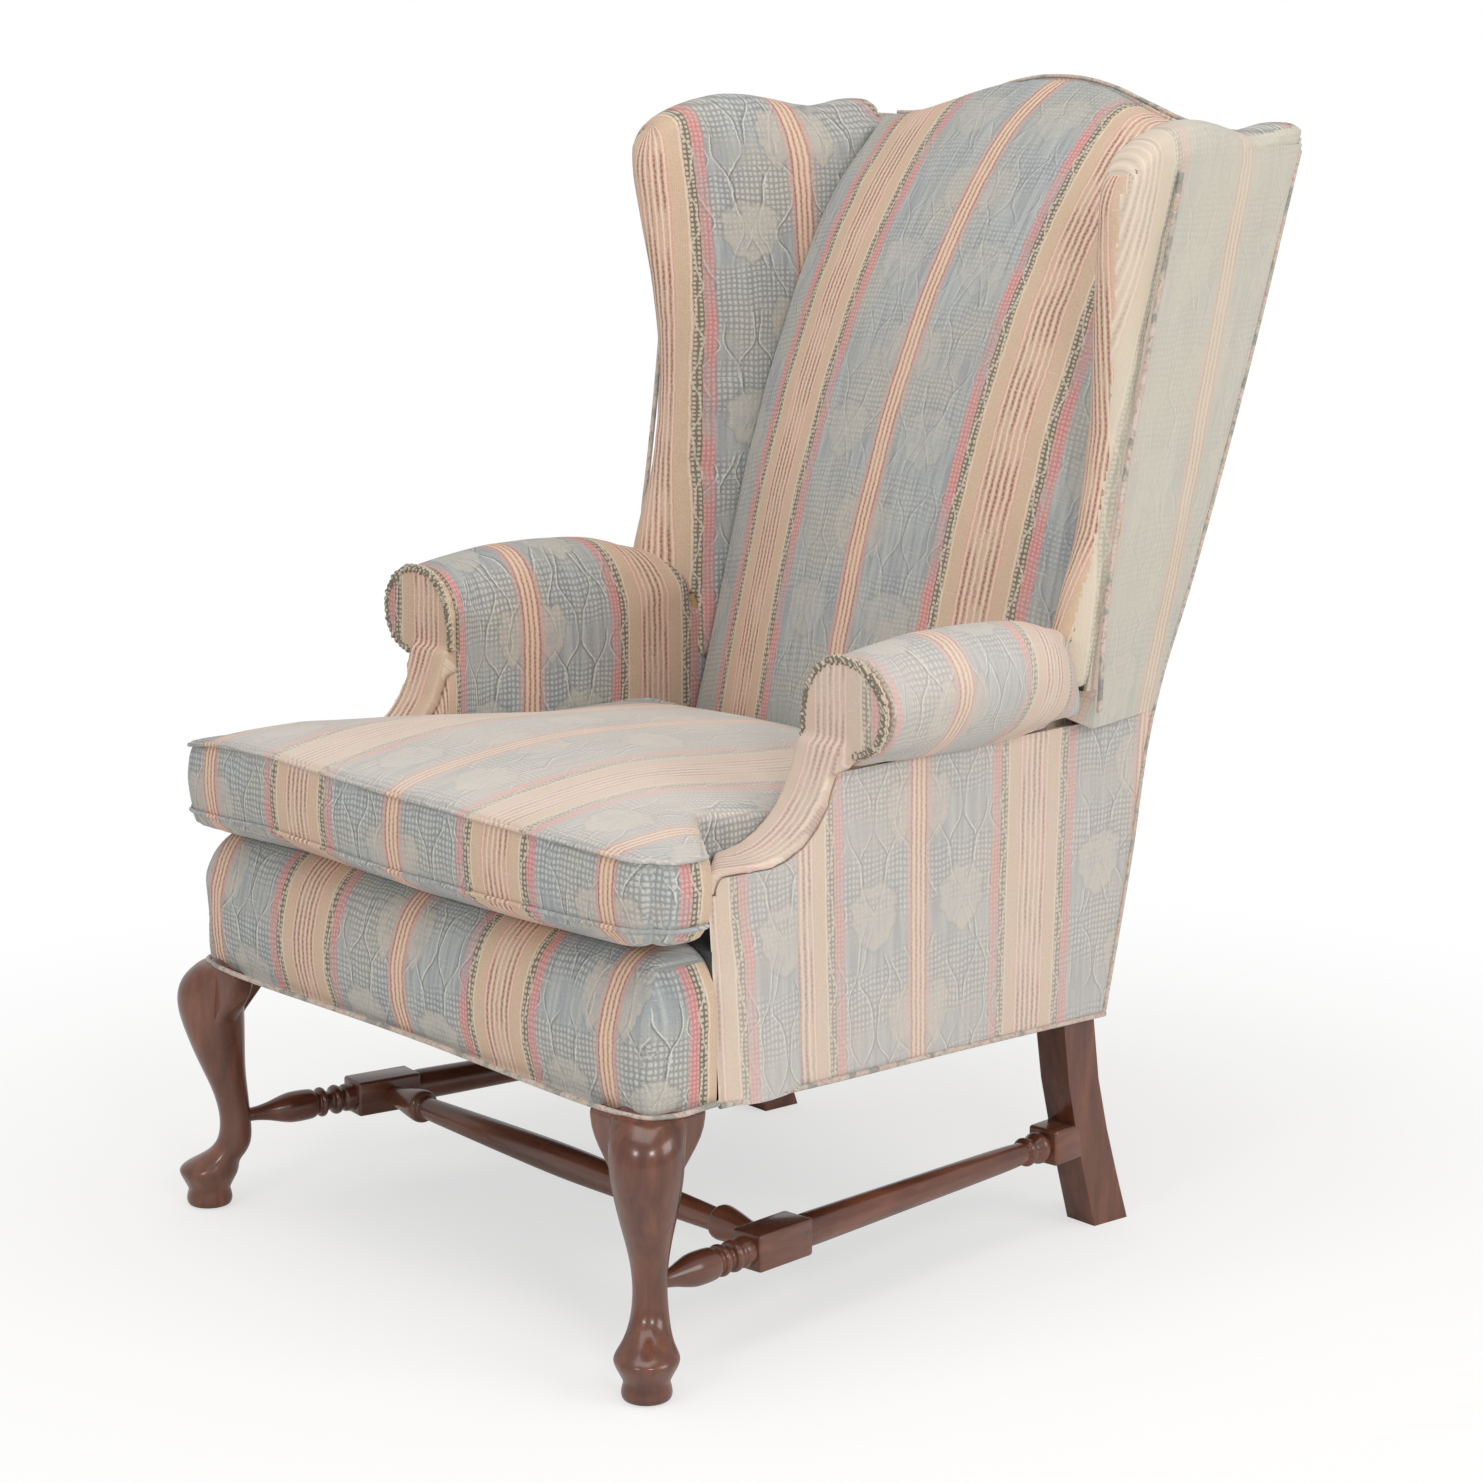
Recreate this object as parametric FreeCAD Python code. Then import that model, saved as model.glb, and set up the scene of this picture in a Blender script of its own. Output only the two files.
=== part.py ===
"""Wing armchair on cabriole front legs, in millimetres: +Z up, the front faces -Y, +X is the sitter's left.
The origin is on the floor, under the middle of the chair's box."""

import FreeCAD, Part
import math
import os

V = FreeCAD.Vector
os.makedirs("parts", exist_ok=True)

# Whole chair
depth = 872.0
height = 1120.0
seat_gap = 0.3

# The rows of places below are drawn for this depth and height, and move with the chair's own
drawn_depth = 872.0
drawn_height = 1120.0
back_shift = (depth - drawn_depth) / 2

# Front legs: the foot's centre, and the blank that stands inside the seat frame
front_foot_x = 355.0
pad_radius = 30.0
front_foot_y = -depth / 2 + pad_radius
leg_blank = 50.0
leg_blank_top = 338.0

# Seat frame
rail_thick = 25.0
front_rail_bottom = 258.0
rear_rail_bottom = 230.0
rail_top = 338.0
border_half = 357.0
border_front = front_foot_y + 1.0
border_bottom = 256.0
border_top = 390.0
border_back = -depth / 2 + 112.0
border_pad = 10.0
border_round = 16.0

# Outside line of the seat, at the bottom edge and at the seam under the arm roll
side_back_x = 290.0
seam_front_x = 334.0
seam_back_x = 305.0
seam_z = 527.0
side_bottom_rear = 225.0
cover = 4.0

# Arms
arm_inside = 272.0
arm_pad = 28.0
arm_roll_out = 388.0
arm_face_y = -156.0
arm_ridge_front = 632.0
arm_ridge_mid = 644.0
arm_rear_y = 128.0 + back_shift
wing_roll_half = 25.0
column_front = -depth / 2 + 113.0
column_notch_y = -depth / 2 + 174.0
column_top = 462.0
facing = 10.0

# Back
back_rake = ((225.0, depth / 2 - 214.0), (525.0, depth / 2 - 168.0), (height - 60.0, depth / 2 - 8.0))
post_deep = 41.0
post_wide = 42.0
post_top = height - 80.0
camel_shoulder = height - 48.0
crease_low = 266.0
crease_high = 250.0
foot_rear_y = depth / 2 - 158.0

# Seat deck and loose cushion
deck_top = 392.0
spring_wire = 4.0
insulator = 2.0
cushion_boxing = 76.0
cushion_crown = 36.0
cushion_front = -depth / 2 + 10.0
cushion_ear = 390.0
cushion_ear_side = 64.0
cushion_waist = 268.0
cushion_back = 92.0 + back_shift
cushion_wall = 3.0
welt = 5.0

# Stretchers
stretcher_z = 94.0
block_side = 36.0
block_long = 72.0
block_y = -222.0
rear_block_side = 36.0
rear_block_long = 46.0


def closed(points, chords=5):
    """A closed wire through corners; a pair (via, end) is a round stretch through via, cut into chords."""
    corners = [points[0]]
    for step in points[1:] + [points[0]]:
        if isinstance(step, tuple):
            via, end = step
            corners += Part.Arc(corners[-1], via, end).toShape().discretize(chords + 1)[1:]
        else:
            corners.append(step)
    return Part.makePolygon(corners)


def prism(points, direction):
    return Part.Face(closed(points)).extrude(direction)


def box(x0, x1, y0, y1, z0, z1):
    return Part.makeBox(x1 - x0, y1 - y0, z1 - z0, V(x0, y0, z0))


def loft(wires):
    """A solid through outlines of equally many corners, its skin laid in flat facets, its ends flat."""
    rings = [[vertex.Point for vertex in wire.OrderedVertexes] for wire in wires]
    faces = [Part.Face(wires[0]), Part.Face(wires[-1])]
    for low, high in zip(rings, rings[1:]):
        for n, here in enumerate(low):
            after = low[(n + 1) % len(low)]
            above = high[n]
            beyond = high[(n + 1) % len(low)]
            slack = (after - here).cross(above - here)
            if abs(slack.normalize().dot(beyond - here)) < 1e-7:
                faces.append(Part.Face(Part.makePolygon([here, after, beyond, above, here])))
            elif here.distanceToPoint(beyond) < after.distanceToPoint(above):
                faces.append(Part.Face(Part.makePolygon([here, after, beyond, here])))
                faces.append(Part.Face(Part.makePolygon([here, beyond, above, here])))
            else:
                faces.append(Part.Face(Part.makePolygon([here, after, above, here])))
                faces.append(Part.Face(Part.makePolygon([after, beyond, above, after])))
    shell = Part.makeShell(faces)
    shell.sewShape()
    solid = Part.makeSolid(shell)
    if solid.Volume < 0:
        solid.reverse()
    return solid


def mirrored(shape):
    return shape.mirror(V(0, 0, 0), V(1, 0, 0))


def pair(shape):
    """Both sides of the chair as one compound of solids."""
    return Part.makeCompound([shape, mirrored(shape)])


def biggest(shape):
    return max(shape.Solids, key=lambda solid: solid.Volume)


def save(shape, node):
    shape.exportStep("parts/" + node + ".step")


def save_sides(shape, node):
    save(shape, node + "_right")
    save(mirrored(shape), node + "_left")


def on_line(z, stations):
    """Straight interpolation of the value at height z in a list of (z, value)."""
    low = stations[0]
    for high in stations[1:]:
        if z <= high[0] or high is stations[-1]:
            share = (z - low[0]) / (high[0] - low[0])
            return low[1] + share * (high[1] - low[1])
        low = high


def eased(rows, steps):
    """The rows with more between them, on a smooth curve through the given ones."""
    out = []
    for n in range(len(rows) - 1):
        four = rows[max(n - 1, 0)], rows[n], rows[n + 1], rows[min(n + 2, len(rows) - 1)]
        for step in range(steps):
            t = step / steps
            out.append(tuple(
                0.5 * (2 * b + (c - a) * t + (2 * a - 5 * b + 4 * c - d) * t ** 2 + (3 * b - a - 3 * c + d) * t ** 3)
                for a, b, c, d in zip(*four)))
    out.append(rows[-1])
    return out


def tall(z):
    """A drawn height above the arm's seam, moved in step with the whole chair's height."""
    return seam_z + (z - seam_z) * (height - seam_z) / (drawn_height - seam_z) if z > seam_z else z


def behind(rows):
    """Drawn rows of (height, place y), moved in step with the chair's height and depth."""
    return [(tall(z), y + back_shift) for z, y in rows]


def back_y(z):
    """Where the outside of the back stands at height z."""
    return on_line(z, back_rake)


def side_x(y, z):
    """Where the outside of the arm stands at the place y and height z."""
    low = border_half + (side_back_x - border_half) * (y - column_front) / (back_rake[0][1] - column_front)
    high = seam_front_x + (seam_back_x - seam_front_x) * (y - column_front) / (back_rake[1][1] - column_front)
    share = (z - side_bottom_rear) / (seam_z - side_bottom_rear)
    return low + share * (high - low)


def leg_section(z, front, width):
    """A leg's outline across its length; front is how far it reaches outward on the diagonal."""
    sides = 16
    half = width / 2
    points = []
    for step in range(sides):
        turn = 2 * math.pi * step / sides
        out = front - half * (1 - math.cos(turn))
        side = half * math.sin(turn)
        points.append(V(front_foot_x + (out + side) * math.sqrt(0.5), front_foot_y - (out - side) * math.sqrt(0.5), z))
    return closed(points)


def front_leg():
    """Cabriole leg: pad foot, ankle and knee, with the blank above that the rails join."""
    foot = (
        (0.0, 20.0), (3.0, 22.5), (7.0, 23.5), (11.0, 22.6), (16.0, 21.8), (22.0, 23.0), (28.0, 26.0),
        (33.0, 29.0), (36.5, pad_radius))
    shin = (
        (41.0, 28.5, 59.0), (47.0, 18.0, 50.0), (55.0, 3.0, 42.0), (64.0, -8.0, 36.0),
        (78.0, -12.8, 32.5), (98.0, -12.8, 31.0), (120.0, -7.0, 35.0), (140.0, 2.0, 42.0), (162.0, 12.0, 52.0),
        (185.0, 20.5, 61.0), (205.0, 27.0, 68.0), (223.0, 28.0, 69.0), (240.0, 22.0, 70.0), (256.0, 4.0, 68.0))
    rings = [leg_section(z, radius, 2 * radius) for z, radius in foot]
    rings += [leg_section(*station) for station in eased(shin, 2)]
    out_x = border_half - border_pad
    out_y = border_front + border_pad
    blank = box(out_x - leg_blank, out_x, out_y, out_y + leg_blank, border_bottom, leg_blank_top)
    return loft(rings).fuse(blank).removeSplitter()


def ear_outline(corner, along, depth_down):
    """An ear's face: a short upright end under the frame, then a hollow sweep in to the knee."""
    reach = 50.0
    lip = 18.0
    down = V(0, 0, -1)
    return [
        corner, corner + along * reach, corner + along * (reach - 3.0) + down * lip,
        (corner + along * (reach * 0.55) + down * (lip + 26.0), corner + along * 10.0 + down * depth_down),
        corner + down * depth_down]


def knee_blocks(leg):
    """The ears glued beside the knee, one under the front rail and one under the side rail."""
    thick = 26.0
    drop = 70.0
    front_corner = V(front_foot_x - 20.0, front_foot_y - 10.0, border_bottom)
    front = prism(ear_outline(front_corner, V(-1, 0, 0), drop), V(0, thick, 0))
    side_corner = V(front_foot_x + 7.0, front_foot_y + 20.0, border_bottom)
    side = prism(ear_outline(side_corner, V(0, 1, 0), drop), V(-thick, 0, 0))
    side.rotate(side_corner, V(0, 0, 1), 6.0)
    return [front.cut(leg), side.cut(leg)]


def post_section(z, front, rear, inner, outer):
    return closed([V(inner, front, z), V(outer, front, z), V(outer, rear, z), V(inner, rear, z)])


def back_post():
    """Rear leg and back post in one piece: it sweeps back at the foot and leans back above the seat."""
    seat_y = back_rake[0][1] - cover
    stations = (
        (0.0, 14.0, foot_rear_y - seat_y, 234.0, 273.0), (50.0, -1.0, 43.0, 235.0, 274.0),
        (100.0, -15.0, 27.0, 236.0, 275.0), (155.0, -29.0, 12.0, 237.0, 277.0), (225.0, -41.0, 0.0, 239.0, 280.0))
    leg = loft([post_section(z, seat_y + front, seat_y + rear, inner, outer) for z, front, rear, inner, outer in stations])
    levels = (225.0, 300.0, 400.0, 525.0)
    wires = []
    for z in levels:
        rear = back_y(z) - cover
        outer = on_line(z, ((225.0, 280.0), (525.0, 300.0)))
        wires.append(post_section(z, rear - post_deep, rear, outer - post_wide, outer))
    middle = loft(wires)
    top_rear = back_y(post_top) - cover
    upper = loft([
        wires[-1], post_section(post_top, top_rear - post_deep, top_rear, 318.0 - post_wide, 318.0)])
    return leg.fuse([middle, upper]).removeSplitter()


def side_rail(leg, post):
    """The side rail runs from the leg's blank to the back post, its lower edge rising to the front."""
    skin = cover + 1.0
    y0 = border_front + border_pad + leg_blank
    y1 = back_rake[0][1] + 28.0
    plan = prism([
        V(side_x(y0, rail_top) - skin, y0, 200), V(side_x(y1, rail_top) - skin, y1, 200),
        V(side_x(y1, rail_top) - skin - rail_thick, y1, 200),
        V(side_x(y0, rail_top) - skin - rail_thick, y0, 200)], V(0, 0, 200))
    flank = prism([
        V(0, y0, front_rail_bottom), V(0, y0, rail_top), V(0, y1, rail_top), V(0, y1, rear_rail_bottom)],
        V(500, 0, 0))
    return plan.common(flank).cut(Part.makeCompound([leg, post])).Solids[0]


def seat_rails(post):
    front_y = border_front + border_pad
    inner = border_half - border_pad - leg_blank
    front = box(-inner, inner, front_y, front_y + rail_thick, front_rail_bottom, rail_top)
    return front, between_posts(rear_rail_bottom + 8.0, rail_top, rail_thick, post)


def corner_blocks(rail, front, rear, post):
    """Glue blocks across the inner corners, and the screws that draw them to the rails."""
    leg_in_x = border_half - border_pad - leg_blank
    leg_in_y = border_front + border_pad + leg_blank
    low = 266.0
    tall = 46.0
    wide = 70.0
    nose_y = border_front + border_pad + rail_thick
    front_block = prism([
        V(leg_in_x - wide, nose_y, low), V(leg_in_x, nose_y, low), V(leg_in_x, leg_in_y, low),
        V(leg_in_x + 24.0, leg_in_y, low), V(leg_in_x + 24.0, leg_in_y + 46.0, low)], V(0, 0, tall))
    rear_face = rear.BoundBox.YMin
    rear_block = prism([
        V(arm_inside - 8.0, rear_face - 70.0, low), V(arm_inside + 30.0, rear_face - 70.0, low),
        V(arm_inside + 30.0, rear_face, low), V(arm_inside - 90.0, rear_face, low)], V(0, 0, tall))
    tools = Part.makeCompound([rail, post, front, rear])
    blocks = [front_block.cut(tools).Solids[0], rear_block.cut(tools).Solids[0]]
    return blocks


def ring(centre, along, at, radius, sides=12):
    """A many-sided outline square to a level line, at a distance along it."""
    up = V(0, 0, 1)
    side = up.cross(along)
    points = []
    for step in range(sides):
        turn = 2 * math.pi * (step + 0.5) / sides
        points.append(centre + along * at + side * (radius * math.cos(turn)) + up * (radius * math.sin(turn)))
    return Part.makePolygon(points + [points[0]])


def turned(start, along, profile, sides=12):
    return loft([ring(start, along, at, radius, sides) for at, radius in profile])


def screw(head, aim, long):
    """A countersunk wood screw: a plain shank under a cone head."""
    shank_r = 2.2
    head_r = 4.5
    return turned(head, aim, [(0.0, head_r), (3.0, shank_r), (long, shank_r)], 8)


def outside_arm_form(inset):
    """Everything inside the outside of the arm: its slanted front column, and the side that flares to the back."""
    front = column_front + inset
    notch = column_notch_y + inset * 1.25
    inner = arm_inside - 60.0
    slant = (column_notch_y - column_front) / (side_x(front, seam_z) - arm_inside)

    def plan(z):
        rear = back_y(z)
        side = [front, -200.0, -60.0, 80.0, 160.0, rear]
        line = [V(side_x(y, z) - inset, y, z) for y in side]
        return closed(line + [V(inner, rear, z), V(inner, notch + (arm_inside - inner) * slant, z)])
    return loft([plan(z) for z in (side_bottom_rear, 300.0, 375.0, 450.0, seam_z)])


def arm_side_face(shift_y, shift_z, x, z_floor):
    """The arm seen from the side: the column, the sweep up to the roll, and back along under the ridge."""
    rear = back_rake[1][1] + 10.0

    def at(y, z):
        return V(x, y + shift_y, z + shift_z)
    return [
        V(x, column_front + shift_y, z_floor), at(column_front, column_top - 12.0),
        (at(column_front + 3.5, column_top - 3.5), at(column_front + 12.0, column_top)),
        at(-255.0, column_top - 2.0),
        (at(-196.0, column_top + 24.0), at(-172.0, 525.0)),
        (at(-161.0, 560.0), at(arm_face_y, 592.0)),
        at(arm_face_y, 660.0), V(x, rear, 660.0 + shift_z), V(x, rear, z_floor)]


def roll_section(y, ridge, narrow):
    """The arm's rolled top across its length: up the inner face, over the ridge and round under to the seam."""
    lip = arm_roll_out - narrow
    low = seam_z + 0.5
    tuck = 541.0

    def at(share, z):
        return V(arm_inside + share * (lip - arm_inside), y, z)
    return closed([
        at(0.0, low), at(0.0, ridge - 60.0),
        (at(0.1, ridge - 19.0), at(0.47, ridge)),
        (at(0.85, ridge - 14.0), at(1.0, ridge - 43.0)),
        (at(0.92, ridge - 73.0), at(0.64, tuck)),
        V(side_x(y, seam_z) + 1.5, y, low)])


def arm_roll():
    stations = (
        (arm_face_y + facing, arm_ridge_front, 0.0), (-60.0, arm_ridge_mid, 0.0), (40.0, arm_ridge_mid - 1.0, 3.0),
        (80.0, 637.0, 12.0), (105.0, 627.0, 27.0), (arm_rear_y, 611.0, 46.0))
    return loft([roll_section(*station) for station in eased(stations, 2)])


def wing_rows():
    """Rising heights of the wing, each with its front roll's middle x and y, and the crease's x."""
    drawn = (
        (seam_z, 316.0, 104.0, 268.0), (600.0, 318.0, 117.0, 266.0), (660.0, 319.0, 134.0, 265.0),
        (714.0, 320.0, 151.0, 263.0), (810.0, 323.0, 163.0, 260.0), (911.0, 331.0, 157.0, 256.0),
        (1010.0, 346.0, 147.0, 252.0), (1105.0, 356.0, 147.0, 248.0))
    return eased([(tall(z), x, front + back_shift, crease) for z, x, front, crease in drawn], 2)


def wing_rear_x(z):
    """How far out the wing reaches where it meets the outside of the back."""
    return on_line(z, [(tall(drawn), x) for drawn, x in (
        (seam_z, seam_back_x), (660.0, 315.0), (855.0, 325.0), (1060.0, 330.0))])


def wing_sections():
    """The wing in plan at rising heights: a rolled front edge and a body that tapers to the back."""
    half = wing_roll_half
    wires = []
    for z, x, front, crease in wing_rows():
        rear = back_y(z)
        wires.append(closed([
            V(wing_rear_x(z), rear, z), V(x + half, front + half, z),
            (V(x, front, z), V(x - half, front + half, z)),
            V(crease, crease_y(z), z), V(crease, rear, z)]))
    return wires


def wing_roof():
    """What the wing's top is cut to: two humps with a dip between, rounded across."""
    stations = (
        (144.0, 1008.0, 352.0), (152.0, 1038.0, 352.0), (170.0, 1066.0, 350.0), (200.0, 1084.0, 346.0),
        (256.0, 1097.0, 337.0), (308.0, 1091.0, 325.0), (356.0, 1081.0, 312.0), (404.0, 1088.0, 309.0),
        (438.0, 1086.0, 309.0))
    half = 38.0
    brim = 95.0
    wires = []
    for drawn_y, drawn_top, x in eased(stations, 2):
        y = drawn_y + back_shift
        top = tall(drawn_top)
        wires.append(closed([
            V(x - brim, y, 400), V(x - brim, y, top - 34.0), V(x - half, y, top - 20.0),
            (V(x, y, top), V(x + half, y, top - 20.0)), V(x + brim, y, top - 34.0), V(x + brim, y, 400)]))
    return loft(wires)


def wing_form():
    below = box(200.0, 420.0, 60.0 + back_shift, depth / 2 + 24.0, 400.0, tall(1000.0))
    roof = wing_roof().fuse(below)
    return loft(wing_sections()).common(roof)


def back_front(z):
    """The middle line of the inside back, which swells at the sitter's waist and rolls over the crest."""
    return on_line(z, behind((
        (395.0, 99.0), (470.0, 108.0), (569.0, 126.0), (627.0, 141.0), (705.0, 163.0), (776.0, 187.0),
        (854.0, 216.0), (928.0, 252.0), (1002.0, 299.0), (1050.0, 334.0), (1080.0, 362.0),
        (1104.0, 394.0), (1119.0, 430.0))))


def crease_y(z):
    return on_line(z, behind((
        (395.0, 142.0), (470.0, 160.0), (574.0, 187.0), (677.0, 212.0), (770.0, 236.0), (852.0, 268.0),
        (919.0, 295.0), (986.0, 329.0), (1021.0, 355.0), (1052.0, 388.0), (1080.0, 414.0), (1119.0, 434.0))))


def camel_outline(y, drop=0.0, low=380.0, half=330.0):
    """The crest seen from the front: a high middle that falls in two hollows to low shoulders."""
    top = height - drop
    return [
        V(-half, y, low), V(-half, y, camel_shoulder - drop), V(-226.0, y, camel_shoulder - drop),
        (V(-178.0, y, top - 41.0), V(-122.0, y, top - 25.0)),
        (V(0.0, y, top), V(122.0, y, top - 25.0)),
        (V(178.0, y, top - 41.0), V(226.0, y, camel_shoulder - drop)),
        V(half, y, camel_shoulder - drop), V(half, y, low)]


def inside_back_form():
    levels = (395.0, 470.0, 525.0, 600.0, 705.0, 800.0, 900.0, 960.0, 1010.0, 1050.0, 1080.0, 1102.0, 1119.0)
    lowest = levels[0]
    wires = []
    for drawn in levels:
        z = tall(drawn)
        half = crease_low + (crease_high - crease_low) * (drawn - lowest) / (1085.0 - lowest)
        front = back_front(z)
        crease = crease_y(z)
        rear = back_y(z) - cover
        across = [half * (step / 7.0) for step in range(-7, 8)]
        face = [V(x, front + (crease - front) * abs(x / half) ** 2.4, z) for x in across]
        wires.append(closed([V(-half, rear, z)] + face + [V(half, rear, z)]))
    crest = prism(camel_outline(0.0, 0.0, 380.0, 300.0), V(0, depth, 0))
    return loft(wires).common(crest)


def side_board(y0, y1, z0, z1, inset, thick):
    """A level board along the side, parallel to the outside cover and inset from it."""
    z = min((z0 + z1) / 2, seam_z)
    outer0 = side_x(y0, z) - inset
    outer1 = side_x(y1, z) - inset
    return prism([
        V(outer0, y0, z0), V(outer1, y1, z0), V(outer1 - thick, y1, z0), V(outer0 - thick, y0, z0)],
        V(0, 0, z1 - z0))


def arm_frame(rail, post):
    """The boards inside the arm: the stump behind the facing, the arm rail under the roll and the tacking rail."""
    board = 25.0
    sunk = facing + 4.0
    flank = prism(arm_side_face(sunk, -sunk, 200.0, rail_top), V(300, 0, 0))
    shell = outside_arm_form(cover + 0.5)
    x1 = side_x(-156.0, seam_z) - cover - 1.0
    stump_top = 575.0
    stump = flank.common(box(x1 - board, x1, column_front, -108.0, rail_top, stump_top))
    low = stump.common(shell)
    high = stump.common(box(0, 500, -500, 500, seam_z, 700))
    stump = low.fuse(high).removeSplitter()
    stump = stump.cut(rail)
    rear = back_y(560.0)
    beam = biggest(side_board(-108.0, rear, 556.0, stump_top, cover + 2.0, 26.0).cut(post))
    liner = biggest(side_board(-190.0, rear, 400.0, 440.0, cover + 1.0, 20.0).cut(Part.makeCompound([post, stump])))
    return stump, beam, liner


def wing_frame(beam, post):
    """The wing's front post stands on the arm rail, and its top rail ties it to the back post."""
    board = 22.0
    low = beam.BoundBox.ZMax
    high = tall(1052.0)
    post_x = ((low, 318.0), (tall(1010.0), 342.0), (high, 344.0))
    post_y = ((low, 150.0), (tall(800.0), 190.0), (tall(1000.0), 176.0), (high, 182.0))
    wires = []
    for z in (low, tall(800.0), tall(1000.0), high):
        x = on_line(z, post_x)
        y = on_line(z, post_y) + back_shift
        wires.append(post_section(z, y, y + 45.0, x - board / 2, x + board / 2))
    wing_post = loft(wires)
    top_rear = back_y(post_top) - cover
    rail_low = post_top - 46.0
    post_front = 200.0 + back_shift
    rail = prism([
        V(344.0 + board / 2, post_front, rail_low), V(318.0, top_rear, rail_low),
        V(318.0 - board, top_rear, rail_low), V(344.0 - board / 2, post_front, rail_low)], V(0, 0, 46.0))
    return wing_post, biggest(rail.cut(Part.makeCompound([wing_post, post])))


def between_posts(z_low, z_high, deep, post):
    """A rail across the back, square to its rake, let in between the two posts."""
    rear_low = back_y(z_low) - cover
    rear_high = back_y(z_high) - cover
    slab = prism([
        V(-320, rear_low - deep, z_low), V(-320, rear_low, z_low), V(-320, rear_high, z_high),
        V(-320, rear_high - deep, z_high)], V(640, 0, 0))
    rest = slab.cut(Part.makeCompound([post, mirrored(post)])).Solids
    return min(rest, key=lambda solid: abs(solid.CenterOfMass.x))


def crest_rail(post):
    """The top rail, sawn to the camel-back line, on top of and between the posts."""
    inside = 24.0
    low = tall(985.0)
    deep = 24.0
    blank = between_posts(low, post_top, deep, post)
    rear_low = back_y(post_top) - cover
    rear_high = depth / 2 - cover
    cap = prism([
        V(-300, rear_low - deep, post_top), V(-300, rear_low, post_top), V(-300, rear_high, height),
        V(-300, rear_high - deep, height)], V(600, 0, 0))
    cap = cap.common(prism(camel_outline(0.0, inside, post_top, 300.0), V(0, 600, 0)))
    return blank.fuse(cap).removeSplitter()


def back_webbing(post):
    """Jute straps tacked across the front of the posts, under the padding of the inside back."""
    thick = 1.6
    strap = 50.0
    reach = 276.0
    straps = []
    for step in range(5):
        low = tall(540.0 + 90.0 * step)
        high = low + strap
        front_low = back_y(low) - cover - post_deep
        front_high = back_y(high) - cover - post_deep
        straps.append(prism([
            V(-reach, front_low - thick, low), V(-reach, front_low, low), V(-reach, front_high, high),
            V(-reach, front_high - thick, high)], V(2 * reach, 0, 0)))
    return Part.makeCompound(straps)


def spring(x, y_front, y_rear):
    """One sinuous spring: a flat wire bent to and fro from the front rail to the rear rail."""
    loops = 13
    half = 22.0
    wire = spring_wire
    pitch = (y_rear - y_front) / loops
    centre = [V(x, y_front, 0)]
    for step in range(loops):
        side = half if step % 2 else -half
        start = y_front + pitch * step
        centre.append(V(x + side * 0.6, start + pitch * 0.05, 0))
        centre.append(V(x + side, start + pitch * 0.5, 0))
        centre.append(V(x + side * 0.6, start + pitch * 0.95, 0))
    centre.append(V(x, y_rear, 0))
    left, right = [], []
    for n, point in enumerate(centre):
        before = centre[max(n - 1, 0)]
        after = centre[min(n + 1, len(centre) - 1)]
        along = (after - before).normalize()
        across = V(-along.y, along.x, 0) * (wire / 2)
        left.append(point + across)
        right.append(point - across)
    flat = Part.Face(Part.makePolygon(left + right[::-1] + [left[0]]))
    return flat.extrude(V(0, 0, wire)).translated(V(0, 0, rail_top))


def seat_suspension(front, rear):
    """Four sinuous springs in steel clips, with an insulator cloth over them."""
    y0 = front.BoundBox.YMin + 8.0
    y1 = back_y(rail_top) - cover - 8.0
    springs, clips = [], []
    for x in (-186.0, -62.0, 62.0, 186.0):
        wire = spring(x, y0, y1)
        springs.append(wire)
        for y in (y0 + 5.0, y1 - 5.0):
            clip = box(x - 9.0, x + 9.0, y - 6.0, y + 6.0, rail_top, rail_top + spring_wire + 1.6)
            clips.append(clip.cut(wire))
    z = rail_top + spring_wire + 1.6
    rear_y = 196.0 + back_shift
    cloth = prism([
        V(-240, border_back + 2.0, z), V(240, border_back + 2.0, z), V(232, rear_y, z), V(-232, rear_y, z)],
        V(0, 0, insulator))
    return Part.makeCompound(springs), Part.makeCompound(clips), cloth


def seat_deck(tools):
    """The padded deck that the loose cushion lies on: wide in front of the arms, narrow between them."""
    low = rail_top + spring_wire + 1.6 + insulator
    front = border_back
    ear = border_half - border_pad
    waist = arm_inside - 1.0
    half = [V(ear, front, low), V(waist, column_notch_y - 1.0, low), V(waist, 200.0 + back_shift, low)]
    plan = closed(half + [V(-point.x, point.y, point.z) for point in reversed(half)])
    return biggest(Part.Face(plan).extrude(V(0, 0, deck_top - low)).cut(tools))


def front_border(tools):
    """The padded front under the cushion: rounded top edge and corners, returning along the sides."""
    rear = border_back
    r = border_round
    plan = [
        V(-border_half, rear, 0), V(-border_half, border_front + r, 0),
        (V(-border_half + r * 0.3, border_front + r * 0.3, 0), V(-border_half + r, border_front, 0)),
        V(border_half - r, border_front, 0),
        (V(border_half - r * 0.3, border_front + r * 0.3, 0), V(border_half, border_front + r, 0)),
        V(border_half, rear, 0)]
    corners = [vertex.Point for vertex in closed(plan, 4).OrderedVertexes]
    long = rear - border_front
    wires = []
    for z, inset in ((border_bottom, 2.0), (border_bottom + 14.0, 0.0), (border_top - 40.0, -2.0),
                     (border_top - 14.0, 1.0), (border_top - 8.0, 3.5), (border_top - 3.0, 7.5),
                     (border_top, 14.0)):
        wide = (border_half - inset) / border_half
        deep = (long - inset) / long
        ring = [V(point.x * wide, rear + (point.y - rear) * deep, z) for point in corners]
        wires.append(closed(ring))
    pad = loft(wires)
    inside = border_half - border_pad
    well = box(-inside, inside, border_front + border_pad, rear + 1.0, 200.0, rail_top + spring_wire + 1.6)
    return biggest(pad.cut(well).cut(tools))


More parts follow.
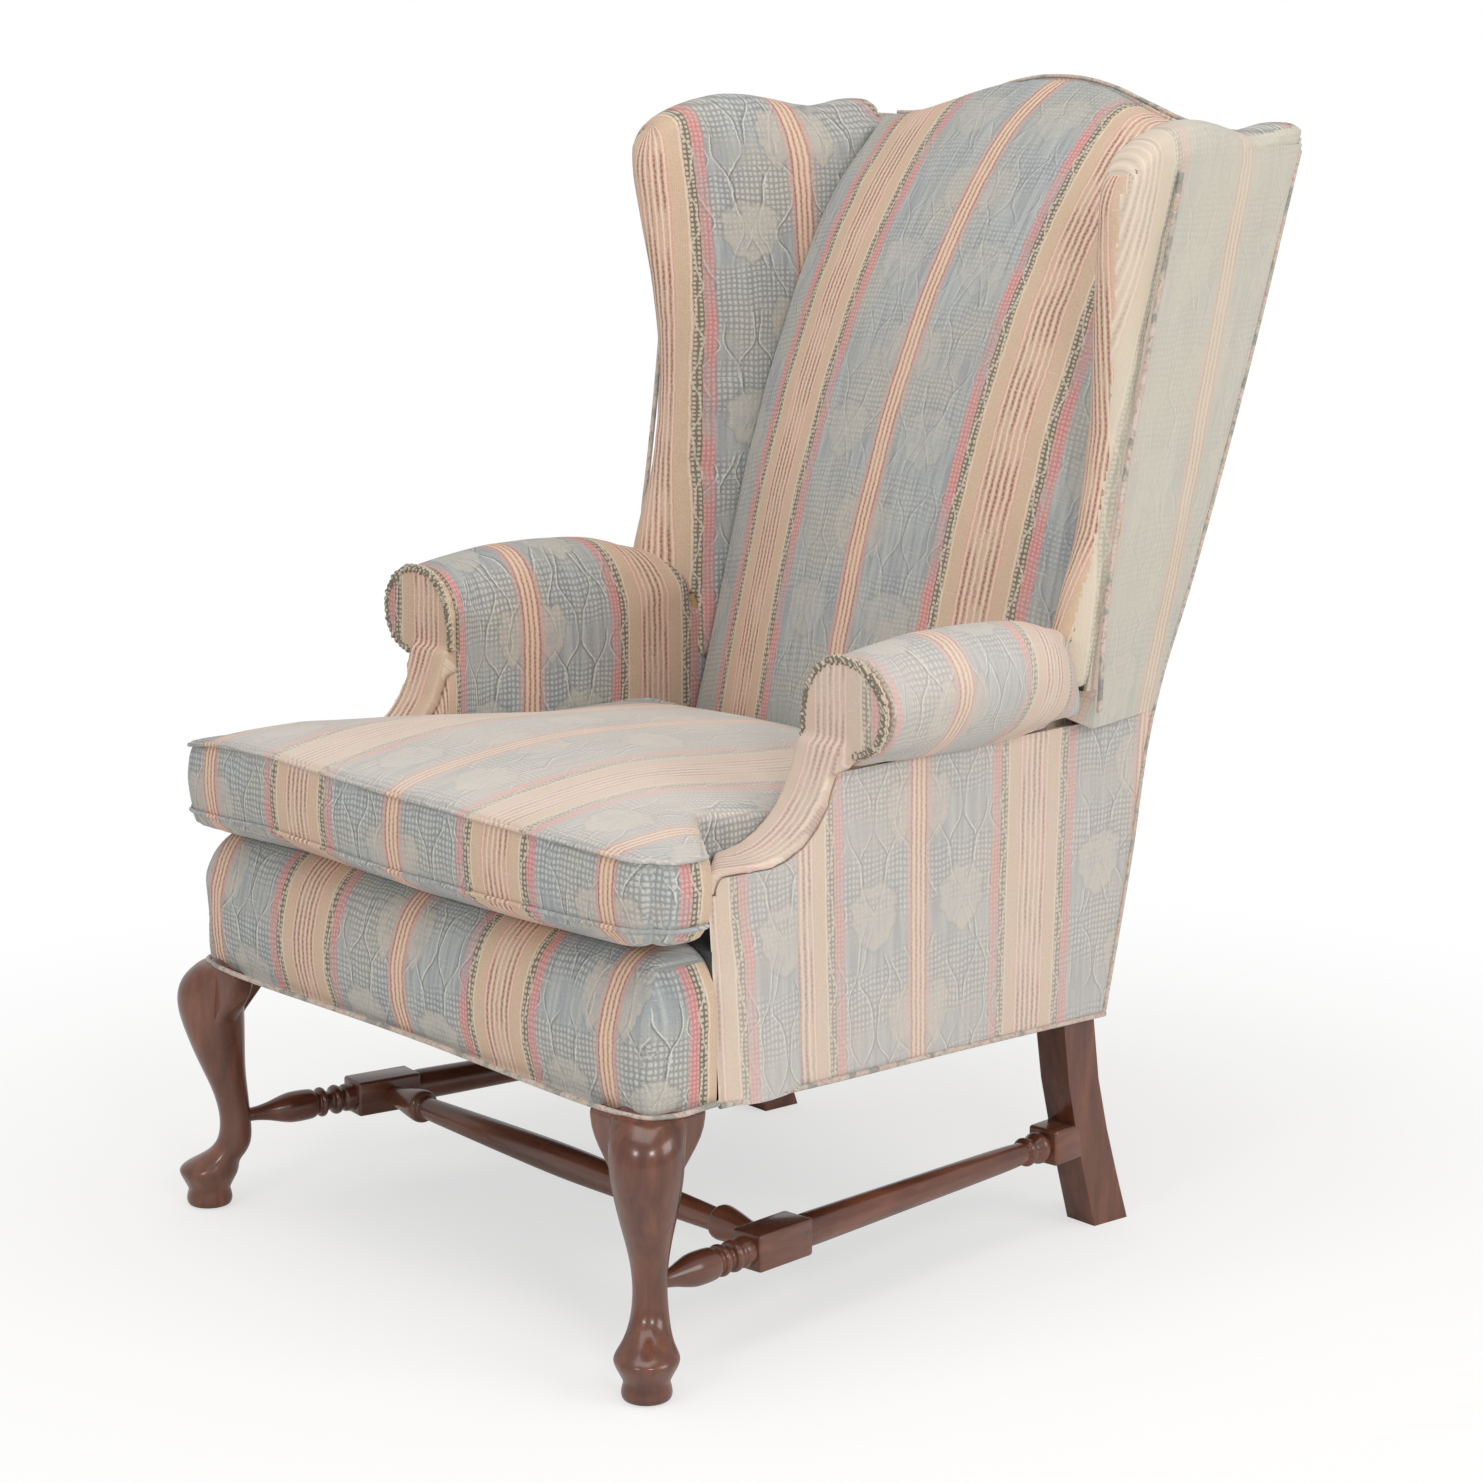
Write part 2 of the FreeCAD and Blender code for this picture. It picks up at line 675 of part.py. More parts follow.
def arm_facing():
    """The padded strip on the arm's front: the scroll at the top, and the sweep down to the column's corner."""
    facing_x = 344.0
    outer = prism(arm_side_face(0, 0, arm_inside, 430.0), V(facing_x - arm_inside, 0, 0))
    behind = prism(arm_side_face(facing, -8.0, arm_inside - 10.0, 430.0), V(200, 0, 0))
    band = outer.cut(behind)
    lower = band.common(box(0, 500, -500, 500, 440.0, seam_z)).common(outside_arm_form(0))
    neck = band.common(box(arm_inside, seam_front_x - 2.0, -500, 500, seam_z, 552.0))
    head = Part.Face(roll_section(arm_face_y, arm_ridge_front, 7.0)).extrude(V(0, facing, 0))
    return biggest(lower.fuse([neck, head]).removeSplitter())


def arm_panel(facing_strip):
    """The thin outside of the arm, from the seam under the roll to the bottom welt, round the column's front."""
    panel = outside_arm_form(0).cut(outside_arm_form(cover))
    panel = panel.common(box(arm_inside, 400, column_front - 5.0, depth / 2, 200, seam_z))
    hem = prism([
        V(200, column_front - 5.0, border_bottom - 2.0), V(200, column_front - 5.0, 600), V(200, depth / 2, 600),
        V(200, depth / 2, 230), V(200, back_rake[0][1], side_bottom_rear)], V(250, 0, 0))
    front_line = prism(arm_side_face(0, 0, 200.0, 200.0), V(250, 0, 0))
    return biggest(panel.common(hem).common(front_line).cut(facing_strip).cut(back_panel()))


def inside_arm(facing_strip, tools):
    """The padded inside of the arm with the roll over its top, as one cover from the deck to the seam."""
    slab = box(arm_inside, arm_inside + arm_pad, column_front - 7.0, 225.0 + back_shift, deck_top, 560.0)
    slab = slab.common(prism(arm_side_face(facing, -8.0, arm_inside - 10.0, 380.0), V(200, 0, 0)))
    slab = slab.common(outside_arm_form(cover).fuse(box(0, 500, -400, 300, seam_z, 600)))
    return biggest(arm_roll().fuse(slab).cut(facing_strip).cut(tools))


def wing_panel(wing):
    """The thin outside of the wing, from its front welt back to the back's edge and down to the arm's seam."""
    rows = wing_rows()
    roll_x = [(row[0], row[1]) for row in rows]
    roll_y = [(row[0], row[2]) for row in rows]
    edge = [(tall(z), y + back_shift) for z, y in (
        (seam_z, 131.0), (600.0, 145.0), (714.0, 176.0), (855.0, 190.0), (1060.0, 220.0))]
    wires = []
    for drawn in (seam_z, 600.0, 660.0, 714.0, 780.0, 855.0, 911.0, 980.0, 1060.0, 1100.0):
        z = tall(drawn)
        rear = back_y(z)
        outer = wing_rear_x(z)
        edge_y = on_line(z, edge)
        front_y = on_line(z, roll_y) + wing_roll_half
        front_x = on_line(z, roll_x) + wing_roll_half
        edge_x = outer + (front_x - outer) * (edge_y - rear) / (front_y - rear)
        wires.append(closed([
            V(outer - cover, rear + 5.0, z), V(edge_x - cover, edge_y, z), V(edge_x + 60.0, edge_y, z),
            V(outer + 60.0, rear + 5.0, z)]))
    zone = box(200, 420, 60.0 + back_shift, depth / 2 + 24.0, seam_z, tall(1066.0))
    return biggest(loft(wires).common(wing).common(zone))


def back_panel():
    """The thin outside of the back, from the crest to the bottom of the seat frame."""
    rear_top = depth / 2
    side = prism([
        V(-400, back_rake[0][1] - cover, back_rake[0][0]), V(-400, back_rake[0][1], back_rake[0][0]),
        V(-400, back_rake[1][1], back_rake[1][0]), V(-400, back_rake[2][1], back_rake[2][0]),
        V(-400, rear_top, height), V(-400, rear_top - cover, height),
        V(-400, back_rake[2][1] - cover, back_rake[2][0]), V(-400, back_rake[1][1] - cover, back_rake[1][0])],
        V(800, 0, 0))
    crest = camel_outline(0.0, 0.0, side_bottom_rear, 330.0)
    low = side_x(back_rake[0][1], side_bottom_rear)
    crest = [V(-low, 0, side_bottom_rear), V(-seam_back_x, 0, seam_z)] + crest[1:-1] + [
        V(seam_back_x, 0, seam_z), V(low, 0, side_bottom_rear)]
    return side.common(prism(crest, V(0, 600, 0)))


def inside_back(tools):
    """The thick inside back, rolled over the crest, with the space behind its webbing left open."""
    half = crease_high - 34.0
    low = 475.0
    high = tall(980.0)
    hollow = prism([
        V(-half, back_y(low) - cover - 18.0, low), V(-half, back_y(low) + 70.0, low),
        V(-half, back_y(high) + 70.0, high), V(-half, back_y(high) - cover - 18.0, high)],
        V(2 * half, 0, 0))
    return biggest(inside_back_form().cut(hollow).cut(tools))


def cushion_outline(z, grow):
    """The T shape of the loose cushion seen from above, drawn in a little along its front and sides."""
    ear = cushion_ear + grow
    front = cushion_front - grow
    waist = cushion_waist + grow * 0.2
    ear_rear = cushion_front + cushion_ear_side
    notch = column_notch_y - 20.0
    drawn = 5.0
    corner = 10.0
    rear = cushion_back + grow * 0.2
    right = closed([
        V(0, front, z), V(ear * 0.5, front + drawn * 0.3, z), V(ear - corner, front + drawn, z),
        (V(ear - corner * 0.3, front + drawn + corner * 0.3, z), V(ear, front + drawn + corner, z)),
        V(ear - 1.0, ear_rear, z), V(waist + 6.0, notch - 4.0, z), V(waist, notch + 4.0, z),
        V(waist - 1.0, -80.0, z), V(waist, rear - 12.0, z), V(waist - 10.0, rear, z), V(0, rear + 2.0, z)], 4)
    points = [vertex.Point for vertex in right.OrderedVertexes]
    left = [V(-point.x, point.y, point.z) for point in points[-2:0:-1]]
    return closed(points + left)


def cushion_form(shrink=0.0):
    """T cushion: bulging boxing between two seams, then crowned faces that rise to the middle."""
    low = deck_top + seat_gap
    seam_low = low + 8.0
    seam_top = seam_low + cushion_boxing - 4.0
    body = loft([
        cushion_outline(low - 20.0, -10.0 - shrink), cushion_outline(low + shrink, -10.0 - shrink),
        cushion_outline(seam_low, -shrink), cushion_outline((seam_low + seam_top) / 2, 4.0 - shrink),
        cushion_outline(seam_top, -shrink), cushion_outline(seam_top + 60.0, -shrink)])
    stations = (
        (cushion_front - 10.0, 402.0, 0.0), (cushion_front + 4.0, 402.0, 5.0), (cushion_front + 60.0, 402.0, 22.0),
        (cushion_front + 130.0, 390.0, 31.0), (-230.0, 330.0, cushion_crown), (-110.0, 290.0, cushion_crown),
        (20.0, 284.0, 27.0), (cushion_back - 12.0, 282.0, 9.0), (cushion_back + 10.0, 282.0, 0.0))
    wires = []
    for y, half, rise in eased(stations, 2):
        top = seam_top - shrink
        wires.append(closed([
            V(-half, y, low + shrink), V(half, y, low + shrink), V(half, y, top),
            (V(0, y, top + rise + 1.0), V(-half, y, top))], 12))
    crown = loft(wires)
    return body.common(crown)


def cord_tube(points, radius, sides=6):
    """A round cord laid along points, its ends square."""
    rings = []
    for n, point in enumerate(points):
        ahead = points[min(n + 1, len(points) - 1)] - points[max(n - 1, 0)]
        side = V(0, 0, 1).cross(ahead).normalize()
        up = ahead.normalize().cross(side)
        ring = []
        for step in range(sides):
            turn = 2 * math.pi * (step + 0.5) / sides
            ring.append(point + side * (radius * math.cos(turn)) + up * (radius * math.sin(turn)))
        rings.append(Part.makePolygon(ring + [ring[0]]))
    return loft(rings)


def cushion_parts():
    """The cushion's cover with its two piped seams and the zip along the back, and the core that fills it."""
    outer = cushion_form()
    core = cushion_form(cushion_wall)
    seam_low = deck_top + seat_gap + 8.0
    pipings = []
    for z in (seam_low, seam_low + cushion_boxing - 4.0):
        points = [vertex.Point for vertex in cushion_outline(z, 1.0).OrderedVertexes]
        turned_on = points[len(points) // 2:] + points[:len(points) // 2]
        ends = [turned_on[0] + (turned_on[1] - turned_on[0]) * 0.02]
        last = [turned_on[0] + (turned_on[-1] - turned_on[0]) * 0.02]
        pipings.append(cord_tube(ends + turned_on[1:] + last, welt / 2))
    piping = Part.makeCompound(pipings)
    zip_z = deck_top + 45.0
    zip_half = 220.0
    rear = cushion_back
    edge = zip_half + 8.0
    track = box(-edge, edge, rear - 5.0, rear + 10.0, zip_z - 9.0, zip_z + 9.0)
    shell = outer.cut(core).cut(Part.makeCompound([track, piping]))
    tape = box(-edge, edge, rear - 5.0, rear - 4.0, zip_z - 9.0, zip_z + 9.0)
    teeth = box(-zip_half, zip_half, rear - 4.0, rear - 2.0, zip_z - 3.0, zip_z + 3.0)
    closure = tape.fuse(teeth).removeSplitter()
    core = core.cut(Part.makeCompound([track, piping]))
    half = 8.0
    end = zip_half - 6.0
    slider = box(end - 2 * half, end, rear - 3.7, rear - 0.3, zip_z - 6.0, zip_z + 6.0)
    slider = slider.cut(box(0, 400, rear - 5.0, rear - 2.0 + seat_gap, zip_z - 3.3, zip_z + 3.3))
    pull = box(end - 1.4 * half, end - 0.6 * half, rear - 2.6, rear - 1.2, zip_z - 8.6, zip_z - 6.0)
    slider = slider.fuse(pull).removeSplitter()
    return shell, core, piping, closure, slider


def squared(start, along, at, long, side):
    """A square block left on a turned piece, its ends softened."""
    soft = 4.0
    up = V(0, 0, 1)
    across = up.cross(along)
    wires = []
    for place, half in ((at, side / 2 - soft), (at + soft, side / 2), (at + long - soft, side / 2),
                        (at + long, side / 2 - soft)):
        middle = start + along * place
        corners = [middle + across * (half * a) + up * (half * b) for a, b in ((1, 1), (-1, 1), (-1, -1), (1, -1))]
        wires.append(Part.makePolygon(corners + [corners[0]]))
    return loft(wires)


def stretchers(leg, post):
    """The H stretcher: two turned sides with square blocks, and a turned cross piece between the blocks."""
    ankle = V(front_foot_x - 25.0, front_foot_y + 25.0, stretcher_z)
    rear_end = V(256.0, back_rake[0][1] - 8.0, stretcher_z)
    along = (rear_end - ankle).normalize()
    long = (rear_end - ankle).Length
    block_at = (block_y - ankle.y) / along.y - block_long / 2
    neck = block_at - 8.0
    vase = [
        (0.0, 6.5), (16.0, 7.0), (30.0, 9.5), (46.0, 14.0), (58.0, 15.6), (neck - 36.0, 14.5), (neck - 31.0, 12.0),
        (neck - 29.0, 15.0), (neck - 25.0, 15.0), (neck - 23.0, 10.5), (neck - 16.0, 10.0), (neck - 13.0, 14.0),
        (neck - 9.0, 15.0), (neck - 5.0, 12.5), (neck, 14.0), (block_at + 6.0, 14.5)]
    rear_at = long - rear_block_long
    spindle = [
        (block_at + block_long - 6.0, 15.5), (block_at + block_long + 20.0, 16.0),
        (block_at + block_long + 120.0, 14.5), (rear_at - 36.0, 11.0), (rear_at - 30.0, 14.0),
        (rear_at - 25.0, 14.0), (rear_at - 22.0, 11.0), (rear_at - 16.0, 11.0), (rear_at - 12.0, 15.5),
        (rear_at - 6.0, 15.5), (rear_at - 2.0, 12.5), (rear_at + 6.0, 12.5)]
    side = turned(ankle, along, vase).fuse([
        turned(ankle, along, spindle), squared(ankle, along, block_at, block_long, block_side),
        squared(ankle, along, rear_at, rear_block_long, rear_block_side)]).removeSplitter()
    side = biggest(side.cut(Part.makeCompound([leg, post])))
    middle = ankle + along * (block_at + block_long / 2)
    half = middle.x
    end = half - block_side / 2 + 1.0
    profile = [
        (-end, 9.0), (-end + 20.0, 12.0), (-end + 52.0, 17.0), (-end + 58.0, 15.5), (-end + 62.0, 11.5),
        (-end + 110.0, 12.5), (-90.0, 15.0), (0.0, 16.5)]
    profile += [(-at, radius) for at, radius in reversed(profile[:-1])]
    cross = turned(V(0, middle.y, stretcher_z), V(1, 0, 0), profile)
    return side, biggest(cross.cut(pair(side)))


def dust_cover(tools):
    """The cloth tacked under the seat frame, sloping with the rails from front to rear."""
    thick = 1.2
    front = border_front + border_pad + 2.0
    rear = back_y(rear_rail_bottom) - cover - 4.0
    low = rear_rail_bottom - thick
    skin = cover + 3.0
    corner = border_half - border_pad - 2.0
    half = [V(corner, front, 200), V(corner, border_back, 200), V(side_x(rear, 250.0) - skin, rear, 200)]
    plan = prism(half + [V(-point.x, point.y, point.z) for point in reversed(half)], V(0, 0, 100))
    slope = prism([
        V(-400, front, front_rail_bottom - thick), V(-400, front, front_rail_bottom),
        V(-400, front + rail_thick, front_rail_bottom), V(-400, rear + 34.0, rear_rail_bottom),
        V(-400, rear + 34.0, low), V(-400, front + rail_thick, front_rail_bottom - thick)], V(800, 0, 0))
    return biggest(plan.common(slope).cut(Part.makeCompound(tools)))


def joint_screws():
    """A pair of countersunk screws through the front corner block into the front rail."""
    leg_in_x = border_half - border_pad - leg_blank
    y = border_front + border_pad + rail_thick + 16.0
    return [screw(V(leg_in_x - 50.0, y, z), V(0, -1, 0), 34.0) for z in (280.0, 298.0)]


def main():
    both = Part.makeCompound
    strip = arm_facing()
    side_panel = arm_panel(strip)
    back_out = back_panel()
    wing = wing_form().cut(back_out)
    wing_out = wing_panel(wing)
    skins = both([pair(side_panel), pair(wing_out), back_out, pair(strip)])

    leg = front_leg()
    post = biggest(back_post().cut(skins))
    rail = biggest(side_rail(leg, post).cut(skins))
    front, rear = seat_rails(post)
    knees = [biggest(block.cut(both([rail, front, skins]))) for block in knee_blocks(leg)]
    blocks = [biggest(block.cut(skins)) for block in corner_blocks(rail, front, rear, post)]
    screws = joint_screws()
    screw_group = both(screws + [mirrored(one) for one in screws])
    blocks = [board.cut(both(screws)) for board in blocks]
    front = front.cut(screw_group)
    side, cross = stretchers(leg, post)
    stump, beam, liner = [biggest(board.cut(skins)) for board in arm_frame(rail, post)]
    wing_post, wing_rail = [biggest(board.cut(skins)) for board in wing_frame(beam, post)]
    crest = crest_rail(post)
    low_back = between_posts(430.0, 470.0, 28.0, post)
    springs, clips, cloth = seat_suspension(front, rear)
    frame = both([
        pair(leg), pair(post), pair(rail), front, rear, crest, low_back, springs, clips, cloth,
        pair(stump), pair(beam), pair(liner), pair(wing_post), pair(wing_rail)] + [pair(one) for one in blocks])
    webs = back_webbing(post).cut(frame)
    solid_parts = both([frame, webs, skins])
    wing_in = biggest(wing.cut(solid_parts))
    arm_in = inside_arm(strip, both([solid_parts, wing_in]))
    back_in = inside_back(both([solid_parts, pair(wing_in), pair(arm_in)]))
    border = front_border(both([solid_parts] + [pair(one) for one in knees]))
    deck = seat_deck(both([solid_parts, pair(arm_in), border, back_in]))
    dust = dust_cover([pair(leg), pair(post), skins] + [pair(one) for one in blocks + knees])
    shell, core, piping, closure, slider = cushion_parts()

    save_sides(leg, "front_leg")
    save(both([pair(one) for one in knees]), "knee_blocks")
    save_sides(post, "back_post")
    save_sides(rail, "side_rail")
    save(front, "front_rail")
    save(rear, "rear_rail")
    save(both([pair(one) for one in blocks]), "corner_blocks")
    save(screw_group, "corner_screws")
    save_sides(side, "side_stretcher")
    save(cross, "cross_stretcher")
    save_sides(stump, "arm_stump")
    save_sides(beam, "arm_rail")
    save_sides(liner, "arm_tacking_rail")
    save_sides(wing_post, "wing_post")
    save_sides(wing_rail, "wing_rail")
    save(crest, "crest_rail")
    save(low_back, "lower_back_rail")
    save(webs, "back_webbing")
    save(springs, "seat_springs")
    save(clips, "spring_clips")
    save(cloth, "spring_insulator")
    save(deck, "seat_deck")
    save(border, "front_border")
    save(dust, "dust_cover")
    save_sides(strip, "arm_front")
    save_sides(arm_in, "inside_arm")
    save_sides(side_panel, "outside_arm")
    save_sides(wing_in, "inside_wing")
    save_sides(wing_out, "outside_wing")
    save(back_in, "inside_back")
    save(back_out, "outside_back")
    save(shell, "cushion_cover")
    save(core, "cushion_core")
    save(piping, "cushion_welts")
    save(closure, "cushion_zip")
    save(slider, "zip_slider")


main()
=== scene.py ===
"""Looks of the wing armchair: studio, polished wood, inner frame, striped cloth and loose cushion, in metres."""
import math

import bmesh
import bpy
import numpy as np
from mathutils import Matrix, Vector


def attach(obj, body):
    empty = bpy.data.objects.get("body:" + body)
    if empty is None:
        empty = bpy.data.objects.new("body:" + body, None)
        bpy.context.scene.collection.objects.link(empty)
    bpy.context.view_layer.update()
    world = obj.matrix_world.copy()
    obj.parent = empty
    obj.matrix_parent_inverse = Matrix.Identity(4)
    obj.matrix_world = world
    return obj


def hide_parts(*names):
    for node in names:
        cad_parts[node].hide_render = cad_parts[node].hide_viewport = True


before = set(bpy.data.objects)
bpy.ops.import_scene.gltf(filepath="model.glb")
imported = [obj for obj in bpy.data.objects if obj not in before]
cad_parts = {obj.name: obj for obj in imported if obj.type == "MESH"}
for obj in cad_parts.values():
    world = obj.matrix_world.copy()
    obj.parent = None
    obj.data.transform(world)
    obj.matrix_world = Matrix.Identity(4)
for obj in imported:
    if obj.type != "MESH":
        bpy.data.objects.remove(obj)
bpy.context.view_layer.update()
scene = bpy.context.scene

# Studio: a pale floor that fades into a white backdrop, two small softboxes beside the camera, a broad one at
# the chair's outer side and one overhead. The camera stands where the photograph was taken from.
eye = Vector((2.97726, -2.49683, 1.29713))
looks_at = Vector((0.0186, -0.0147, 0.4870))
camera = bpy.data.objects.new("photo_camera", bpy.data.cameras.new("photo_camera"))
camera.data.lens = 97.5
camera.data.sensor_width = 36.0
camera.data.clip_end = 50.0
camera.matrix_world = Matrix.Translation(eye) @ (looks_at - eye).to_track_quat("-Z", "Y").to_matrix().to_4x4()
scene.collection.objects.link(camera)
scene.camera = camera
scene.view_settings.view_transform = "Standard"

seat_middle = Vector((0.0, -0.05, 0.55))
for name, stand_at, wide, watts in (
        ("softbox_left", (1.1, -3.1, 1.75), 0.55, 15.0), ("softbox_right", (2.9, -1.5, 1.85), 0.55, 17.0),
        ("side_panel_light", (3.2, 1.0, 1.9), 1.6, 34.0), ("overhead", (0.4, -0.8, 3.2), 2.2, 34.0)):
    lamp = bpy.data.lights.new(name, "AREA")
    lamp.energy = watts
    lamp.size = wide
    lamp.color = (1.0, 0.985, 0.965)
    stand = bpy.data.objects.new(name, lamp)
    aim = (seat_middle - Vector(stand_at)).to_track_quat("-Z", "Y").to_matrix().to_4x4()
    stand.matrix_world = Matrix.Translation(stand_at) @ aim
    scene.collection.objects.link(stand)


def dye(red, green, blue):
    """A colour as a picture editor gives it, 0 to 255, as the shader wants it."""
    shares = [value / 255.0 for value in (red, green, blue)]
    return tuple(s / 12.92 if s <= 0.04045 else ((s + 0.055) / 1.055) ** 2.4 for s in shares) + (1.0,)


class Thread:
    """One socket of a shader. Arithmetic on it adds Math nodes, and node() adds any other kind of node."""

    def __init__(self, tree, socket=None):
        self.tree = tree
        self.socket = socket

    def node(self, kind, settings=None, sockets=None, out=0):
        made = self.tree.nodes.new(kind)
        for name, value in (settings or {}).items():
            setattr(made, name, value)
        for key, value in (sockets or {}).items():
            if isinstance(value, Thread):
                self.tree.links.new(value.socket, made.inputs[key])
            else:
                made.inputs[key].default_value = value
        return Thread(self.tree, made.outputs[out])

    def part(self, number):
        """Another output of the node that this socket belongs to."""
        return Thread(self.tree, self.socket.node.outputs[number])

    def math(self, operation, *terms):
        return self.node("ShaderNodeMath", {"operation": operation}, dict(enumerate(terms)))

    def __abs__(self):
        return self.math("ABSOLUTE", self)

    def between(self, low, high):
        """0 below low, 1 above high, and a smooth step between; low may be the greater."""
        return self.node("ShaderNodeMapRange", {"interpolation_type": "SMOOTHSTEP"},
                         {"Value": self, "From Min": low, "From Max": high})

    def blend(self, under, over):
        """The colour under, covered by over as far as this value says."""
        return self.node("ShaderNodeMix", {"data_type": "RGBA"}, {0: self, 6: under, 7: over}, 2)

    def cloud(self, place, scale, detail=2.0, rough=0.5):
        return self.node("ShaderNodeTexNoise", None,
                         {"Vector": place, "Scale": scale, "Detail": detail, "Roughness": rough})


for sign, operation in (("add", "ADD"), ("sub", "SUBTRACT"), ("mul", "MULTIPLY"), ("truediv", "DIVIDE")):
    setattr(Thread, f"__{sign}__", lambda one, other, kind=operation: one.math(kind, one, other))
    setattr(Thread, f"__r{sign}__", lambda one, other, kind=operation: one.math(kind, other, one))


def covered(colour, *layers):
    """The colour under layers, each a share and the dye that covers it that far."""
    for share, tint in layers:
        colour = share.blend(colour, dye(*tint))
    return colour


def ramp_of(value, stops, run="LINEAR"):
    """Colours along a value, from stops of position and colour."""
    made = value.node("ShaderNodeValToRGB", None, {"Fac": value})
    ramp = made.socket.node.color_ramp
    ramp.interpolation = run
    ramp.elements[0].position, ramp.elements[0].color = stops[0]
    ramp.elements[1].position, ramp.elements[1].color = stops[-1]
    for position, colour in stops[1:-1]:
        ramp.elements.new(position).color = colour
    return made


def finish_of(name):
    """A new material, a thread to start its shader from, and its main shader node."""
    material = bpy.data.materials.new(name)
    material.use_nodes = True
    return material, Thread(material.node_tree), material.node_tree.nodes["Principled BSDF"]


def feed(thread, shader, socket):
    thread.tree.links.new(thread.socket, shader.inputs[socket])


def bump(height, strength, distance):
    return height.node("ShaderNodeBump", None, {"Strength": strength, "Distance": distance, "Height": height})


backdrop, start, shell = finish_of("studio_paper")
shell.inputs["Base Color"].default_value = dye(247, 246, 244)
shell.inputs["Roughness"].default_value = 0.9
seen = start.node("ShaderNodeLightPath", out="Is Camera Ray")
glow = start.node("ShaderNodeEmission", None, {"Color": (1.0, 1.0, 1.0, 1.0), "Strength": 1.0})
paper = Thread(start.tree, shell.outputs[0])
place = start.node("ShaderNodeTexCoord", out="Object")
spread = place.node("ShaderNodeVectorMath", {"operation": "LENGTH"}, {0: place}, 1)
whitened = spread.between(0.35, 1.5) * 0.40 + 0.60
both = start.node("ShaderNodeMixShader", None, {0: seen * whitened, 1: paper, 2: glow})
feed(both, backdrop.node_tree.nodes["Material Output"], "Surface")
floor = bpy.data.objects.new("studio_floor", bpy.data.meshes.new("studio_floor"))
bm = bmesh.new()
bmesh.ops.create_grid(bm, x_segments=1, y_segments=1, size=9.0)
bm.to_mesh(floor.data)
bm.free()
floor.data.materials.append(backdrop)
scene.collection.objects.link(floor)

world = bpy.data.worlds.new("studio_air")
scene.world = world
world.use_nodes = True
sky = world.node_tree.nodes["Background"]
sky.inputs["Color"].default_value = (1.0, 1.0, 1.0, 1.0)
air = Thread(world.node_tree)
camera_ray = air.node("ShaderNodeLightPath", out="Is Camera Ray")
glossy_ray = air.node("ShaderNodeLightPath", out="Is Glossy Ray")
feed(camera_ray.math("MAXIMUM", camera_ray, glossy_ray * 0.3) * 0.50 + 0.50, sky, "Strength")


# Show wood: legs, back posts and stretchers of one red-brown mahogany, stained, grain-filled and rubbed to a
# soft gloss. Turned parts come off a lathe, the legs are bandsawn and shaped, square blocks are left for joints.
def mahogany(name, stretch):
    """Polished mahogany whose grain is drawn out along the axis of the smallest stretch."""
    material, start, shell = finish_of(name)
    place = start.node("ShaderNodeTexCoord", out="Object")
    laid = start.node("ShaderNodeMapping", None, {"Vector": place, "Scale": stretch})
    fibres = start.cloud(laid, 9.0, 6.0, 0.62)
    pores = start.cloud(laid, 46.0, 3.0, 0.7)
    figure = start.cloud(laid, 1.6, 2.0, 0.5)
    browns = ((0.30, dye(60, 29, 19)), (0.5, dye(98, 54, 37)), (0.72, dye(136, 81, 57)))
    warm = ramp_of(fibres * 0.7 + figure * 0.3, browns)
    pitted = pores.between(0.60, 0.74)
    rubbed = start.cloud(place, 7.0, 3.0, 0.6)
    colour = (pitted * 0.45).blend(warm, dye(44, 22, 15))
    feed((rubbed.between(0.35, 0.8) * 0.18).blend(colour, dye(158, 108, 84)), shell, "Base Color")
    feed(rubbed * 0.16 + 0.20, shell, "Roughness")
    shell.inputs["Coat Weight"].default_value = 0.45
    shell.inputs["Coat Roughness"].default_value = 0.12
    feed(bump(fibres * 0.5 - pitted, 0.12, 0.0004), shell, "Normal")
    return material


upright_wood = mahogany("mahogany_upright", (7.0, 7.0, 0.9))
lengthways_wood = mahogany("mahogany_lengthways", (7.0, 0.9, 7.0))
crossways_wood = mahogany("mahogany_crossways", (0.9, 7.0, 7.0))


def piece_from(bm, name, material, body="chair", smooth=True):
    """The bmesh as a finished object that rides on a body."""
    mesh = bpy.data.meshes.new(name)
    bm.to_mesh(mesh)
    bm.free()
    mesh.materials.append(material)
    if smooth:
        mesh.shade_smooth()
    made = bpy.data.objects.new(name, mesh)
    scene.collection.objects.link(made)
    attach(made, body)
    return made


def flipped(made):
    """The piece's mesh for the chair's other side."""
    bm = bmesh.new()
    bm.from_mesh(made.data)
    bmesh.ops.scale(bm, vec=(-1.0, 1.0, 1.0), verts=bm.verts)
    bmesh.ops.reverse_faces(bm, faces=bm.faces)
    return bm


def other_side(made, name):
    """The same piece, with its modifiers, for the chair's other side."""
    twin = piece_from(flipped(made), name, made.data.materials[0])
    for modifier in made.modifiers:
        copy = twin.modifiers.new(modifier.name, modifier.type)
        for key in ("levels", "render_levels", "width", "segments", "limit_method", "angle_limit"):
            if hasattr(modifier, key):
                setattr(copy, key, getattr(modifier, key))
    return twin


def rounded(made, levels):
    modifier = made.modifiers.new("rounded", "SUBSURF")
    modifier.levels = levels
    modifier.render_levels = levels


def eased_edges(made, width):
    modifier = made.modifiers.new("eased_edges", "BEVEL")
    modifier.width = width
    modifier.segments = 3
    modifier.limit_method = "ANGLE"
    modifier.angle_limit = math.radians(28.0)


